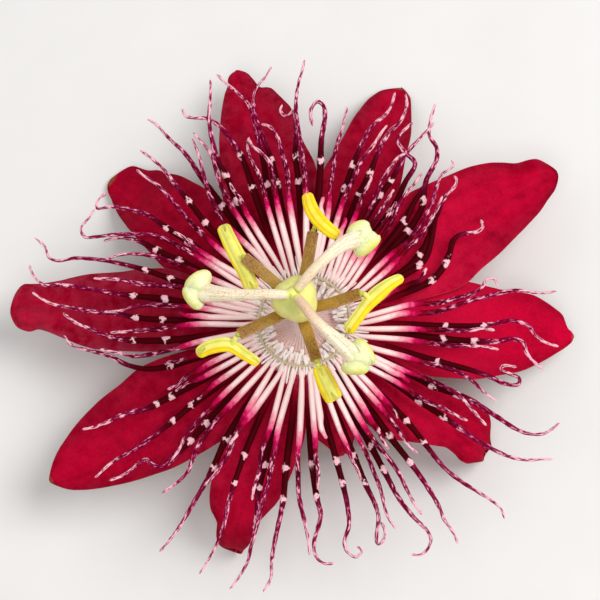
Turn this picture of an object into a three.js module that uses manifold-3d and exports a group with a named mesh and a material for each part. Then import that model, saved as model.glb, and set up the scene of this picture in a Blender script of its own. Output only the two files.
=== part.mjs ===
// A red passion flower, cut with a short stalk and lying on its back with its face up.
// Millimetres and degrees, +Z up. Inside the flower group, z = 0 is the plane of the corona
// ring and the Z axis runs up through the column; the group then lifts it onto the surface.
import * as THREE from "three";
import { mergeVertices } from "three/addons/utils/BufferGeometryUtils.js";
import Module from "manifold-3d";

const RING_HEIGHT = 20; // the corona ring above the surface that the flower lies on
const AXIS_X = 3.55; // where the flower's axis stands, with the origin under the middle of it all
const AXIS_Y = -2.43;

const SEAT_GAP = 0.35; // clearance between neighbouring pieces
const TEPAL_THICKNESS = 0.8;
const TEPAL_STEPS = 15; // along a sepal or petal
const TEPAL_LANES = 4; // across it
const TIP_THICKNESS = 0.5; // where a tepal is pressed against the surface
const AWN_RADIUS = 0.55; // the horn at the tip of a sepal

const PEDICEL_RADIUS = 1.3;
const COLUMN_TOP = 12.5; // top of the androgynophore above the ring
const OVARY_RADIUS = 4.0;
const OVARY_HALF_HEIGHT = 4.1;
const OVARY_CENTRE = COLUMN_TOP + 0.45 + OVARY_HALF_HEIGHT;
const OVARY_LEAN = 0.2; // how far it sits beside the axis

const ROOT_RADIUS = 8.8; // where the corona filaments leave their rings
const OUTER_ROW_LEVEL = -1.2; // height of the outer row's filaments
const INNER_ROW_LEVEL = 0.25;

const radians = THREE.MathUtils.degToRad;

// ---------------------------------------------------------------- materials

const finish = (color, roughness) =>
  new THREE.MeshStandardMaterial({ color, roughness, metalness: 0 });

const MATERIALS = {
  tepal: finish(0xb4062e, 0.55),
  outerCorona: finish(0x6d0a35, 0.5),
  innerCorona: finish(0xd884a0, 0.5),
  pale: finish(0xecd9d2, 0.5),
  throat: finish(0xbe8c8c, 0.5),
  stamen: finish(0xa6782b, 0.6),
  anther: finish(0xf2dc2a, 0.7),
  ovary: finish(0xcfd482, 0.45),
  style: finish(0xefe0bd, 0.5),
  stigma: finish(0xe6ef9e, 0.5),
  green: finish(0x7d9145, 0.6),
};

// ---------------------------------------------------------------- solids and meshes

const wasm = await Module();
wasm.setup();

/** A mesh geometry as a manifold solid. */
function solidOf(geometry) {
  const bare = geometry.clone();
  bare.deleteAttribute("normal");
  bare.deleteAttribute("uv");
  const merged = mergeVertices(bare, 1e-4);
  return new wasm.Manifold(
    new wasm.Mesh({
      numProp: 3,
      vertProperties: merged.attributes.position.array,
      triVerts: new Uint32Array(merged.index.array),
    }),
  );
}

/** Several closed geometries joined into one. */
function joined(geometries) {
  const solid = geometries.map(solidOf).reduce((all, next) => all.add(next));
  const mesh = solid.getMesh();
  return new THREE.BufferGeometry()
    .setAttribute("position", new THREE.BufferAttribute(mesh.vertProperties, 3))
    .setIndex(new THREE.BufferAttribute(mesh.triVerts, 1));
}

function piece(name, geometry, material) {
  const mesh = new THREE.Mesh(geometry, material);
  mesh.name = name;
  return mesh;
}

/** The point at a bearing, a distance from the axis and a height. */
const polar = (bearing, radius, z) =>
  new THREE.Vector3(
    radius * Math.cos(radians(bearing)),
    radius * Math.sin(radians(bearing)),
    z,
  );

/** Closed geometry from rings of points, each ring with as many points, capped at both ends. */
function loft(rings) {
  const sides = rings[0].length;
  const middle = (ring) =>
    ring
      .reduce((sum, p) => sum.add(p), new THREE.Vector3())
      .divideScalar(sides);
  const points = [...rings.flat(), middle(rings[0]), middle(rings.at(-1))];
  const firstCap = rings.length * sides;
  const faces = [];
  for (let k = 0; k < sides; k++) {
    const next = (k + 1) % sides;
    for (let i = 0; i + 1 < rings.length; i++) {
      const a = i * sides;
      const b = a + sides;
      faces.push(a + k, a + next, b + next, a + k, b + next, b + k);
    }
    const last = (rings.length - 1) * sides;
    faces.push(firstCap, next, k, firstCap + 1, last + k, last + next);
  }
  return new THREE.BufferGeometry()
    .setFromPoints(points)
    .setIndex(faces);
}

/**
 * An oval section carried along a smooth curve. `size(t)` gives the half width and the half
 * thickness at a share t of the length, and `up` is the side that the thickness faces.
 */
function strand(waypoints, size, { sides = 4, steps, up = new THREE.Vector3(0, 0, 1) }) {
  const curve = new THREE.CatmullRomCurve3(waypoints, false, "centripetal");
  const rings = [];
  for (let i = 0; i <= steps; i++) {
    const t = i / steps;
    const centre = curve.getPointAt(t);
    const along = curve.getTangentAt(t);
    const side = new THREE.Vector3().crossVectors(along, up).normalize();
    const face = new THREE.Vector3().crossVectors(side, along);
    const [halfWidth, halfThickness] = size(t);
    const ring = [];
    for (let k = 0; k < sides; k++) {
      const turn = (2 * Math.PI * (k + 0.5)) / sides;
      ring.push(
        centre
          .clone()
          .addScaledVector(side, -halfWidth * Math.cos(turn))
          .addScaledVector(face, halfThickness * Math.sin(turn)),
      );
    }
    rings.push(ring);
  }
  return loft(rings);
}

/** A ring of revolution from a closed outline of [radius, height] corners. */
function turned(outline, segments) {
  const corners = [...outline, outline[0]];
  return new THREE.LatheGeometry(
    corners.map(([r, z]) => new THREE.Vector2(r, z)),
    segments,
  ).rotateX(Math.PI / 2);
}

/** A solid of revolution from an outline that starts and ends on the axis. */
function turnedSolid(outline, segments) {
  return new THREE.LatheGeometry(
    outline.map(([r, z]) => new THREE.Vector2(r, z)),
    segments,
  ).rotateX(Math.PI / 2);
}

/** The midrib of a sheet: where it runs at a share t of its length, and which way it faces. */
function midribOf({ bearing, tipBearing = bearing, course }) {
  const curve = new THREE.CatmullRomCurve3(
    course.map(([r, z]) => new THREE.Vector3(r, 0, z)),
    false,
    "centripetal",
  );
  return (t) => {
    const { x: radius, z } = curve.getPointAt(t);
    const slope = curve.getTangentAt(t);
    const turn = THREE.MathUtils.lerp(bearing, tipBearing, t * t);
    const along = polar(turn, slope.x, slope.z);
    const side = polar(turn + 90, 1, 0);
    return { centre: polar(turn, radius, z), along, side, face: along.clone().cross(side) };
  };
}

/** The height at a share t of an outline of [share, height] stops, straight between stops. */
function heightAt(stops, t) {
  const next = Math.max(stops.findIndex(([share]) => share >= t), 1);
  const [[t0, from], [t1, to]] = [stops[next - 1], stops[next]];
  return THREE.MathUtils.lerp(from, to, (t - t0) / (t1 - t0));
}

/**
 * A leaf-like sheet. Its midrib follows `course`, a list of [radius, height] in the upright
 * plane at `bearing`, swinging to `tipBearing`; its edges lie at the distances of the outlines
 * `left` and `right`. Nothing of it goes below the surface that the flower lies on.
 */
function sheet(row) {
  const midrib = midribOf(row);
  const rings = [];
  for (let i = 0; i <= TEPAL_STEPS; i++) {
    const t = i / TEPAL_STEPS;
    const { centre, side, face } = midrib(t);
    const lane = (index, offset, lowest) => {
      const share = (2 * index) / TEPAL_LANES - 1;
      const across = share * heightAt(share > 0 ? row.left : row.right, t);
      const point = centre.clone().addScaledVector(side, across).addScaledVector(face, offset);
      return point.setZ(Math.max(point.z, lowest));
    };
    const lower = [];
    const upper = [];
    for (let index = 0; index <= TEPAL_LANES; index++) {
      lower.push(lane(index, -TEPAL_THICKNESS / 2, -RING_HEIGHT));
      upper.unshift(lane(index, TEPAL_THICKNESS / 2, TIP_THICKNESS - RING_HEIGHT));
    }
    rings.push([...lower, ...upper]);
  }
  return loft(rings);
}

/** The horn of a sepal: a tapering rod on the back of the midrib that ends below the tip. */
function awn(row) {
  const midrib = midribOf(row);
  const below = (t, offset) => midrib(t).centre.addScaledVector(midrib(t).face, -offset);
  const lowest = AWN_RADIUS - RING_HEIGHT;
  const waypoints = [below(0.85, 0.5), below(0.93, 0.8), below(0.99, 0.9)].map((point) =>
    point.setZ(Math.max(point.z, lowest)),
  );
  const size = (t) => [AWN_RADIUS * (1 - 0.5 * t), AWN_RADIUS * (1 - 0.5 * t)];
  return strand(waypoints, size, { steps: 3 });
}

// ---------------------------------------------------------------- stalk, bracts and calyx

// The stalk bends under the calyx and lies along the surface towards this bearing.
const PEDICEL_BEARING = 15;

function pedicel() {
  const sides = 8;
  const lying = PEDICEL_RADIUS * Math.cos(Math.PI / sides) - RING_HEIGHT;
  const waypoints = [
    polar(PEDICEL_BEARING, 0, -11.7),
    polar(PEDICEL_BEARING, 0.4, -14),
    polar(PEDICEL_BEARING, 2.4, -16.8),
    polar(PEDICEL_BEARING, 6, lying + 0.4),
    polar(PEDICEL_BEARING, 10, lying + 0.08),
    polar(PEDICEL_BEARING, 18, lying),
    polar(PEDICEL_BEARING, 26, lying),
  ];
  const size = () => [PEDICEL_RADIUS, PEDICEL_RADIUS];
  return strand(waypoints, size, { sides, steps: 12, up: polar(PEDICEL_BEARING + 90, 1, 0) });
}

const BRACT_BEARINGS = [64, 184, 304];
const BRACT_COURSE = [[1.9, -12.7], [8, -12.4], [15, -11.2], [22.5, -9.6]];
const BRACT_EDGE = [[0, 1], [0.2, 2.3], [0.4, 2.7], [0.6, 2.05], [0.8, 1.15], [1, 0.35]];

// A shallow green cup: its rim carries the tepals and the corona, its floor the column.
const CALYX_OUTLINE = [
  [0, -11.3], [2.4, -11.3], [6, -10.3], [8.4, -8], [9.1, -5.6], [9.1, -3.5],
  [8.4, -3.5], [7.8, -5.6], [5.6, -7.7], [0, -8.3],
];

// ---------------------------------------------------------------- sepals and petals

// Near the ring every sepal follows one course, and every petal another just above it.
const SEPAL_ROOT = [[9.8, -4.05], [18, -4.75], [26, -5.8]];
const PETAL_ROOT = [[9.45, -2.75], [18, -3.4], [26, -4.5]];

// Their edges are [share of the length, distance from the midrib]; left is the side of the
// larger bearings.
const SEPALS = [
  {
    bearing: 0, tipBearing: -0.5, course: [[37, -9.5], [47.9, -15]],
    left: [[0, 3.2], [0.2, 6.6], [0.45, 8.4], [0.64, 7.2], [0.78, 6.6], [0.85, 5.7], [0.9, 4.7],
      [0.94, 3.7], [0.972, 1.35], [1, 0.7]],
    right: [[0, 3.2], [0.2, 7.2], [0.33, 9.4], [0.48, 9.6], [0.66, 8.3], [0.72, 7.7],
      [0.79, 6.35], [0.85, 5], [0.9, 3.7], [0.955, 2.25], [0.99, 1.1], [1, 0.8]],
  },
  {
    bearing: 70.3, tipBearing: 71.6, course: [[38, -10.5], [46.5, -16], [52.6, -19.8]],
    left: [[0, 2.8], [0.2, 5.6], [0.42, 7.3], [0.56, 6.5], [0.71, 5.9], [0.8, 5.6], [0.88, 5],
      [0.94, 4], [0.975, 3], [1, 1.4]],
    right: [[0, 2.8], [0.2, 5.6], [0.44, 7.1], [0.61, 6], [0.69, 5.6], [0.77, 4.85], [0.87, 3.65],
      [0.95, 2.6], [1, 1.6]],
  },
  {
    bearing: 139.8, tipBearing: 139.8, course: [[36.5, -10], [44.5, -16], [51, -19.8]],
    left: [[0, 2.9], [0.2, 5.8], [0.41, 7.6], [0.51, 6.95], [0.6, 6.3], [0.74, 5.2], [0.83, 4.35],
      [0.9, 3.3], [0.95, 2.3], [1, 1.6]],
    right: [[0, 2.9], [0.2, 6.3], [0.45, 8.8], [0.6, 8.3], [0.73, 7.45], [0.82, 7], [0.88, 5.9],
      [0.94, 5.2], [0.97, 4.6], [1, 2.6]],
  },
  {
    bearing: 211.5, tipBearing: 209.8, course: [[40, -7.4], [53.8, -8]],
    left: [[0, 3.4], [0.2, 7.4], [0.32, 9.25], [0.5, 9], [0.63, 8], [0.69, 7.3], [0.75, 6.5],
      [0.81, 5.6], [0.87, 4.6], [0.91, 3.8], [0.955, 2.8], [1, 1.4]],
    right: [[0, 3.4], [0.2, 7.6], [0.45, 10.2], [0.57, 9.3], [0.67, 8.8], [0.73, 8.2],
      [0.78, 7.5], [0.83, 6.6], [0.9, 4.8], [0.94, 3.5], [0.97, 2.6], [1, 1.4]],
  },
  {
    bearing: 286, tipBearing: 286, course: [[22.6, -11.5], [20.5, -17.5], [15, -19.8]],
    left: [[0, 2.6], [0.25, 4.6], [0.34, 4], [0.42, 2.6], [0.5, 1.7], [0.8, 1.4], [1, 0.8]],
    right: [[0, 2.6], [0.25, 4.8], [0.34, 4.2], [0.42, 2.8], [0.5, 1.8], [0.8, 1.4], [1, 0.8]],
  },
];

const PETALS = [
  {
    bearing: 35.2, tipBearing: 32.6, course: [[40, -7], [54.1, -10]],
    left: [[0, 3.4], [0.2, 8], [0.38, 9.8], [0.53, 9.2], [0.64, 8.7], [0.7, 8.3], [0.77, 7.3],
      [0.82, 6], [0.87, 4.65], [0.92, 4.1], [0.95, 3.7], [1, 2]],
    right: [[0, 3.4], [0.2, 7.8], [0.41, 10.3], [0.49, 9.6], [0.61, 8.6], [0.67, 7.9],
      [0.73, 7.15], [0.78, 6.5], [0.84, 5.6], [0.9, 4.15], [0.95, 3], [1, 1.8]],
  },
  {
    bearing: 104.5, tipBearing: 105.2, course: [[39, -8], [53.9, -12.4]],
    left: [[0, 3.2], [0.2, 6.9], [0.4, 8.65], [0.5, 8.1], [0.59, 7.4], [0.66, 6.75], [0.76, 5.4],
      [0.82, 4.6], [0.9, 3.2], [0.95, 2.1], [1, 1.9]],
    right: [[0, 3.2], [0.2, 7.2], [0.43, 9.3], [0.59, 8.2], [0.66, 8.1], [0.72, 7.9], [0.77, 7.1],
      [0.82, 6.2], [0.855, 5.45], [0.868, 4.7], [0.877, 3.5], [0.936, 2.6], [1, 1.6]],
  },
  {
    bearing: 175, tipBearing: 174.6, course: [[40, -6.3], [55.2, -8]],
    left: [[0, 2.9], [0.2, 5.4], [0.4, 6.2], [0.54, 6.4], [0.61, 6.4], [0.67, 6], [0.77, 4.5],
      [0.85, 3.3], [0.88, 3.05], [0.92, 3.55], [0.97, 2.95], [1, 2]],
    right: [[0, 2.9], [0.2, 7], [0.39, 9.35], [0.49, 9], [0.54, 8.45], [0.6, 8.05], [0.7, 7.4],
      [0.76, 6.85], [0.81, 6.2], [0.9, 5.45], [1, 5.1]],
  },
  {
    bearing: 250, tipBearing: 249.3, course: [[31, -5.6], [37.3, -9], [40.4, -14], [40.2, -19.8]],
    left: [[0, 3], [0.18, 6.2], [0.27, 6.75], [0.4, 6.6], [0.48, 6.4], [0.54, 5.9], [0.6, 4.8],
      [0.64, 4.05], [0.7, 3.3], [0.77, 3.1], [0.88, 1.9], [1, 1.1]],
    right: [[0, 3], [0.2, 6.2], [0.38, 7.35], [0.52, 6.7], [0.59, 6.25], [0.64, 5.7], [0.68, 5],
      [0.71, 4.1], [0.74, 3.5], [0.87, 3.2], [0.92, 2.8], [1, 1.8]],
  },
  {
    bearing: 323.5, tipBearing: 326.5, course: [[29, -5.3], [35, -8.6], [37.6, -13.5], [37, -19.8]],
    left: [[0, 3], [0.2, 4.6], [0.39, 5.2], [0.52, 5.9], [0.62, 6.4], [0.67, 6.4], [0.71, 5.8],
      [0.76, 4.6], [0.8, 3.3], [0.86, 1.9], [0.93, 1.2], [1, 0.9]],
    right: [[0, 3], [0.2, 7], [0.35, 8.5], [0.41, 7.4], [0.51, 5.4], [0.56, 4.5], [0.62, 3.6],
      [0.67, 3.7], [0.71, 4], [0.76, 3.8], [0.8, 3.2], [0.86, 2.2], [0.93, 1.3], [1, 0.8]],
  },
];

const STRONGLY_BENT_SEPAL_ROOT = [[9.8, -4.05], [16, -5.2], [20.8, -7.8]];

function tepals(kind, rows, root) {
  return rows.map((row, index) => {
    const start = row.course[0][0] < root.at(-1)[0] ? STRONGLY_BENT_SEPAL_ROOT : root;
    const whole = { ...row, course: [...start, ...row.course] };
    const geometry = kind === "sepal" ? joined([sheet(whole), awn(whole)]) : sheet(whole);
    return piece(`${kind}_${index + 1}`, geometry, MATERIALS.tepal);
  });
}

// ---------------------------------------------------------------- corona

// The direction from which the flower is looked at, in mm from the middle of the ring. A
// filament's bearings and radii are those that it has when seen from there.
const EYE = new THREE.Vector3(38.1, -92.0, 386.4);

// Each filament is its bearing at the ring, then a bearing and a radius at each bend.
const OUTER_ROW = [
  [359, [358.5, 20], [358.3, 25], [358.6, 30], [359.4, 34], [360.2, 36.5], [359, 39.8],
    [356.5, 41.5], [354.9, 43.5], [354.2, 45.5]],
  [13.5, [15.5, 16], [16.6, 21], [18, 24], [20.4, 26], [22.9, 27.4], [25.8, 28.9], [28.2, 30.2],
    [29, 31.4], [28.6, 33], [27.7, 34.7], [28, 36], [30, 36.5]],
  [22.5, [24.8, 18], [26, 22.8], [28.1, 24.7], [31.7, 26.4], [35.3, 28.1], [37.8, 29.6],
    [39.8, 31.5], [41.9, 33.8], [42.1, 36.1], [42.9, 37.1], [44.2, 37.3]],
  [24, [27, 20], [29.8, 23.8], [32.6, 25.7], [36, 27.9], [39.4, 30.2]],
  [37.5, [39.5, 19.6], [41, 24.5], [43.8, 28.9], [46.4, 31], [49, 33.3], [50.8, 37.3], [53, 39],
    [56, 40], [58.9, 45.5]],
  [40.5, [42.7, 19.2], [43.8, 22.3], [45, 25.1], [46.8, 28.5], [49, 33]],
  [50.5, [51.5, 21], [51.7, 25], [53.8, 30.3], [55, 34.4], [59, 35], [62.5, 36.5], [61.5, 40.5]],
  [59.5, [59, 20], [59, 26.2], [58.4, 29.5], [58.5, 34], [58, 38], [56.9, 42.5]],
  [67, [66.4, 20], [66.5, 24.6], [66, 29], [66.4, 34], [65.8, 37], [64.2, 39.5], [64.3, 42.5],
    [66, 44.5]],
  [73.5, [73, 20], [72.9, 25], [72.6, 29.2], [72, 33], [70.9, 37], [68.8, 39], [67.7, 41],
    [68.3, 44]],
  [83.5, [83.5, 20], [83.6, 25], [84, 28.7], [84.5, 33], [84.3, 37], [85, 38.7], [86.5, 39.3],
    [88.2, 38], [88.3, 36.3], [87.4, 34.8]],
  [91, [91.6, 18], [92.2, 25], [92.8, 29.4], [92.5, 34], [92.7, 37.8], [93.5, 37.4], [94.9, 36.8],
    [96.2, 37.8], [95.7, 38.9]],
  [101, [101, 20], [100.9, 25], [101.2, 29], [102, 32], [103.2, 36.5], [103, 39.5], [101.3, 42.5],
    [99, 44.3], [97.3, 46]],
  [105.5, [105.3, 20], [105.2, 25], [104.2, 29], [104, 33], [104, 37], [104.4, 40], [106, 42.5],
    [108, 45], [109.4, 47]],
  [112, [111.6, 18], [110.9, 25.5], [110.6, 31], [111.5, 34.5], [113.5, 38], [115.6, 40],
    [118.5, 41.2], [119.9, 42.3], [119.6, 43.8]],
  [119.8, [119.5, 20], [119.2, 24.5], [118, 29.5], [118.1, 32], [117, 36], [115, 39.8],
    [113, 42.5], [111.2, 46.3]],
  [125.5, [125.5, 16], [125.1, 25], [125.3, 31], [125.3, 36], [126, 40], [126.8, 43.5],
    [127.8, 45.7]],
  [135, [135, 20], [134.9, 24.8], [133.6, 29.5], [133, 34], [132.9, 38], [133.6, 42.3]],
  [145, [145.5, 20], [145.4, 25], [145.6, 29.6], [145.4, 33.5], [147.2, 36.8], [149.3, 39.8],
    [151.2, 42], [149.4, 42.4], [146.6, 41.7]],
  [154.5, [154.3, 20], [153.9, 24.8], [154.1, 29.2], [153.7, 32.5], [155.2, 35.5], [158, 38.5]],
  [162.3, [162.3, 18], [162.1, 25], [161.9, 29.6], [162.4, 34], [163, 38], [164.3, 42],
    [166.2, 45], [166, 46.7], [163.7, 48], [162.4, 50.2]],
  [171.3, [171.2, 20], [170.7, 25], [171.3, 30.7], [171.3, 37], [171.5, 44], [171.8, 46.5],
    [170.3, 48.6], [168.2, 50]],
  [179.6, [179.4, 20], [179.2, 25], [178.6, 29.8], [177.5, 33.5], [177, 39], [176, 44.5],
    [173.8, 48.8]],
  [188.4, [188.2, 20], [187.6, 24.8], [186.2, 30.5], [183.5, 36], [180.5, 40], [177.8, 42.9]],
  [198.8, [198.7, 20], [198.3, 24.9], [196.8, 29], [194, 32], [190.3, 35], [187.5, 38.5],
    [185.3, 42], [183.3, 43]],
  [210.6, [210, 18], [209.4, 25], [209.2, 29], [208.8, 32], [207.4, 35.5], [207, 39.5],
    [205.8, 43.8]],
  [217, [216.8, 20], [216.6, 25], [217.2, 29.2], [217.2, 34], [217, 38], [216.2, 43.5],
    [216.5, 46.5]],
  [226, [226, 20], [226.1, 25], [226.3, 29.2], [226.3, 33], [226, 35.6], [224.5, 36.8],
    [221, 37.2], [220.3, 39], [220.3, 42], [219.3, 44.8]],
  [235.8, [235.8, 18], [236.4, 25], [238, 30.5], [238.6, 36], [238.8, 42], [237.7, 48.3]],
  [244.8, [244.8, 15], [245.3, 20], [245.8, 25.9], [246.7, 31.3], [247.6, 36], [248.7, 41],
    [248.5, 44.5], [247.3, 48.5]],
  [253.7, [253.6, 18], [254, 22], [254.5, 26.4], [255, 30.5], [255.6, 34], [256.3, 38]],
  [263.3, [263.3, 15], [263, 26], [263.3, 31.7], [262.8, 37], [262.3, 43], [262.4, 46],
    [261.2, 48.6]],
  [272.8, [272.8, 15], [273, 20], [273.3, 25.5], [274, 31], [274.8, 34.5], [273.7, 37],
    [272.7, 39.5], [273.2, 41.8], [275, 43], [277.2, 43.2]],
  [282.3, [282.3, 18], [283.2, 25], [283.4, 29.5], [283.4, 33.5], [282.3, 37], [280.4, 39.5],
    [280.6, 41.3], [282.6, 42.7], [284.1, 42], [283.3, 40.9]],
  [289.6, [289.6, 18], [290.4, 25.5], [290.8, 30.7], [291.2, 34.5], [290.8, 37], [289, 40],
    [288.4, 41.6], [290, 41.2], [291.4, 39.5], [291.2, 38]],
  [298, [298, 18], [298.3, 25.2], [298.2, 30], [298.2, 35.5], [299.3, 39.5], [300.6, 43],
    [300.2, 44.8], [298.3, 46], [296.5, 46.2], [294.8, 45.4]],
  [307, [307, 18], [306.8, 25.5], [307, 31.3], [306.7, 36], [306.3, 40.5], [305.4, 43.5],
    [305.3, 46], [304.5, 48]],
  [316.6, [316.5, 18], [316, 25], [314.8, 30.2], [314, 34.5], [314.3, 38.5], [315.3, 42.5],
    [316.2, 46.5], [316.3, 48.5], [315.4, 50.2]],
  [326.3, [326, 20], [325.6, 25], [325.7, 30.2], [325.6, 36], [326, 40], [326.7, 44], [328.2, 47],
    [330, 49], [331.2, 50.7]],
  [334.3, [334, 20], [333.6, 25.6], [334.6, 30.3], [334.6, 34], [333.7, 38], [333.1, 42],
    [333.6, 44.5], [335.2, 47], [338.4, 48.9]],
  [343.5, [343.4, 20], [343.5, 25], [343.8, 30], [343.5, 34.5], [343, 37.5], [343.8, 39.7],
    [345.3, 39.6], [346, 37.5], [346.4, 36.2], [347.4, 36.5], [347.9, 38.8]],
  [353, [353, 20], [353, 25], [353.5, 30.5], [354.3, 34.5], [355.3, 37], [354.5, 39], [352, 39.9],
    [350.2, 41.5], [348.9, 43.6]],
];

const INNER_ROW = [
  [357.5, [359.5, 11], [362.4, 14], [364.8, 17.4], [364.2, 20.5], [364.6, 24.5], [366.5, 28],
    [368.2, 34], [368.4, 37], [367.2, 42], [366.8, 45.3]],
  [3.5, [5.3, 11.5], [8.3, 16.5], [9.1, 19], [8, 24], [8.3, 26.5], [9.4, 30], [11.2, 32.3],
    [12.9, 33.4], [12.4, 34.6], [10.4, 34.9]],
  [15, [16, 13], [19.1, 17], [19.4, 20.8], [20.6, 22.1], [23.3, 23.9]],
  [26.5, [28.5, 12.5], [31.5, 17], [33.1, 19.3], [35.3, 22.7], [36.2, 25.5], [37.8, 27.9],
    [40, 30.3], [42, 33.3]],
  [31, [33, 11.5], [36.6, 16.5], [37.6, 19.5], [38.2, 24.3], [39.5, 26.7], [42.4, 30.4],
    [44, 32.3], [46.1, 34.6], [46.9, 36], [46.5, 38.4], [47.9, 38.9]],
  [37, [39, 11], [44.7, 16.5], [47.2, 20.5], [48.9, 23.7], [50.8, 27], [51.5, 30], [51.5, 33.8]],
  [43, [44.5, 11], [48.5, 15.8], [50.8, 20], [51.5, 24], [52, 27]],
  [48.5, [49.5, 11], [52.5, 15], [54.5, 20], [55.6, 25], [55.4, 28.5]],
  [53, [54, 10.5], [56.5, 13.5], [59.3, 20], [60.2, 26], [60.9, 31], [60.3, 33.8], [58.9, 35]],
  [58, [59, 11], [61.5, 14], [64, 20.5], [64.8, 25], [65.2, 28.5]],
  [63.5, [64.3, 11], [66.5, 15], [68.2, 20]],
  [69, [70.2, 13], [72, 20], [71.8, 24], [70.9, 27], [70.3, 30], [68.6, 34], [66.8, 38]],
  [76.3, [76.5, 12], [77.5, 20], [78.8, 24.5], [79.3, 29], [79.3, 33], [78.7, 36.5],
    [78.2, 39.2]],
  [78.8, [79.2, 12], [80, 17], [81.7, 22.4]],
  [87.5, [88.4, 15], [89, 21], [89.4, 24.5], [90.3, 28.5], [91.4, 33], [92.2, 37], [91.4, 41.5],
    [90, 46.7]],
  [93.3, [94.6, 12], [96.7, 20], [96.8, 24], [96.4, 27.5], [97.5, 31], [98.8, 34], [100.5, 35.4],
    [102.2, 36]],
  [101.6, [101.9, 12], [102.8, 20], [102.4, 24], [102, 27], [102.6, 29.5], [104.4, 31.4],
    [106.1, 32.5], [107, 33.8]],
  [108.2, [108, 12], [107.6, 20], [107, 25], [107, 28.5], [108.2, 31.5], [107.8, 33.2],
    [106.6, 34.3]],
  [113.6, [114.3, 11], [117.6, 20], [117.7, 24], [117.9, 28]],
  [121.6, [121.8, 12], [122, 21], [121.8, 25], [121.3, 28.5], [119.9, 31.5], [119.2, 34.8],
    [119.6, 37], [120.2, 39]],
  [122.6, [123.8, 12.5], [126.3, 16.5], [127.8, 19.5], [128.2, 23], [127.3, 26.5], [125.6, 29.5],
    [123.7, 32.5], [122.3, 35.5], [121.5, 38.3]],
  [132, [132, 13], [132.4, 22]],
  [139, [139.1, 12], [139.3, 19], [139.2, 23], [138.6, 27], [137.5, 31], [137, 34.5],
    [137.6, 40.3]],
  [144, [144.6, 14.5], [145.8, 20], [145.4, 25], [145.3, 28.2]],
  [149.8, [149.2, 14], [148.6, 20], [148.8, 26], [149.7, 30], [152, 33.3], [155, 36.8], [158, 40],
    [159, 41.7], [157.4, 42.9], [154, 42.3], [151.6, 42]],
  [154.6, [154.7, 14.5], [155, 18], [155.3, 24], [156, 28], [158, 32], [160.3, 35],
    [162.4, 36.9]],
  [159.5, [159.5, 12], [159.5, 20.5]],
  [164.2, [164.3, 12.3], [164, 19], [164.5, 23.5], [166, 27], [167.2, 31], [167.4, 34.5],
    [168.1, 38.2]],
  [168.6, [168.5, 12], [168.3, 20.5]],
  [174.3, [173.8, 11], [172.3, 18], [172.7, 22], [173.6, 27], [175, 30.3], [176.5, 33],
    [177.3, 35.5]],
  [176.2, [176.5, 12.5], [177, 18.5], [176.5, 21], [176, 22.5]],
  [182.9, [182.6, 11], [181.2, 18.5], [181.8, 22], [183, 27], [183.4, 31], [183, 34.5]],
  [190.3, [190.5, 13], [190.9, 20], [191.8, 23.5], [192, 27.5], [191, 31.5], [189, 34.5],
    [187.5, 36.5]],
  [194.6, [194.6, 12], [195, 20]],
  [198, [198, 11], [197.4, 19], [197, 26]],
  [202.8, [203, 11.7], [203.8, 18], [205, 22], [206, 25], [206.7, 27]],
  [208.8, [208.8, 13], [208.8, 18.8], [208.2, 23], [208, 26]],
  [214.6, [214.7, 13], [214.9, 18], [215.6, 21.5], [216, 23.6]],
  [221.3, [221.5, 13], [222, 19], [222.5, 22.5], [223.6, 26.5], [224.2, 29.5], [225.4, 31.8],
    [226, 34]],
  [229.9, [229.5, 11], [228.7, 18.5], [228.3, 23], [229.3, 28], [231, 31.5], [232, 34],
    [231.5, 37], [230.6, 39.6]],
  [236.6, [236.8, 12.3], [237.4, 17.7], [238.6, 23], [240, 28], [240, 31], [239, 34]],
  [245.6, [244.3, 11], [240.5, 18.5], [239.2, 22], [238.6, 25.5]],
  [249.8, [250.1, 11], [252.4, 19], [252.2, 22], [252.3, 25], [253.3, 28], [253.6, 33]],
  [258.3, [257.9, 11], [256.4, 19.5], [257, 23], [257.4, 30], [256.9, 36], [256.7, 41],
    [256.9, 43.5], [256, 46.5], [254.5, 49.3]],
  [268, [268, 11], [267.8, 20], [267.3, 24], [267.8, 27], [268.5, 31], [270.2, 36], [271, 39],
    [271.4, 41.5]],
  [276.4, [276.3, 11], [275.5, 19.7], [275.2, 23], [275.1, 30]],
  [280.6, [280.5, 11], [279.7, 19], [280.5, 21.2]],
  [287.2, [287.4, 13], [288.6, 22], [289.5, 26], [289.7, 30]],
  [293.6, [293.8, 13], [294.9, 21.7], [295.3, 27], [294.7, 31], [294, 34.5], [293.4, 38],
    [293.7, 40.3]],
  [300.1, [300, 11], [299.9, 20], [300.5, 24.5], [301.6, 28.5], [302.2, 32], [301.6, 35],
    [301, 38], [301.3, 40.2]],
  [307.7, [307, 11], [304.8, 18.5], [304.2, 22], [303.8, 25], [303.6, 27.3]],
  [312.3, [312.3, 13], [312, 19], [311.6, 22], [310.7, 26], [310.5, 31]],
  [317, [316.9, 13], [316.3, 18], [315.3, 21.5], [314.5, 24]],
  [324, [324.3, 13], [326.8, 19.3], [326.8, 24], [327.6, 28], [328.4, 31], [329, 34]],
  [330.2, [330.3, 13], [330.8, 19.2], [330.5, 21.7]],
  [333.2, [333.3, 13], [333.9, 19.2], [334.9, 23], [335.3, 27], [334.6, 30.3], [332.8, 32.8],
    [331.5, 35], [330.4, 37.4]],
  [338.4, [339, 13], [340.9, 18.7], [341.2, 22], [342, 26], [341.6, 29.8], [340.2, 32.5],
    [338.5, 34.8], [337.4, 37]],
  [345.3, [346.3, 11], [350.1, 18.7], [350.4, 22], [350.8, 26], [352, 29.5], [351.9, 32],
    [351.6, 35]],
  [352.6, [353.4, 11], [356.1, 18.7], [356.3, 22], [356.7, 26.5], [357.4, 31], [357.4, 34]],
];

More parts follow.
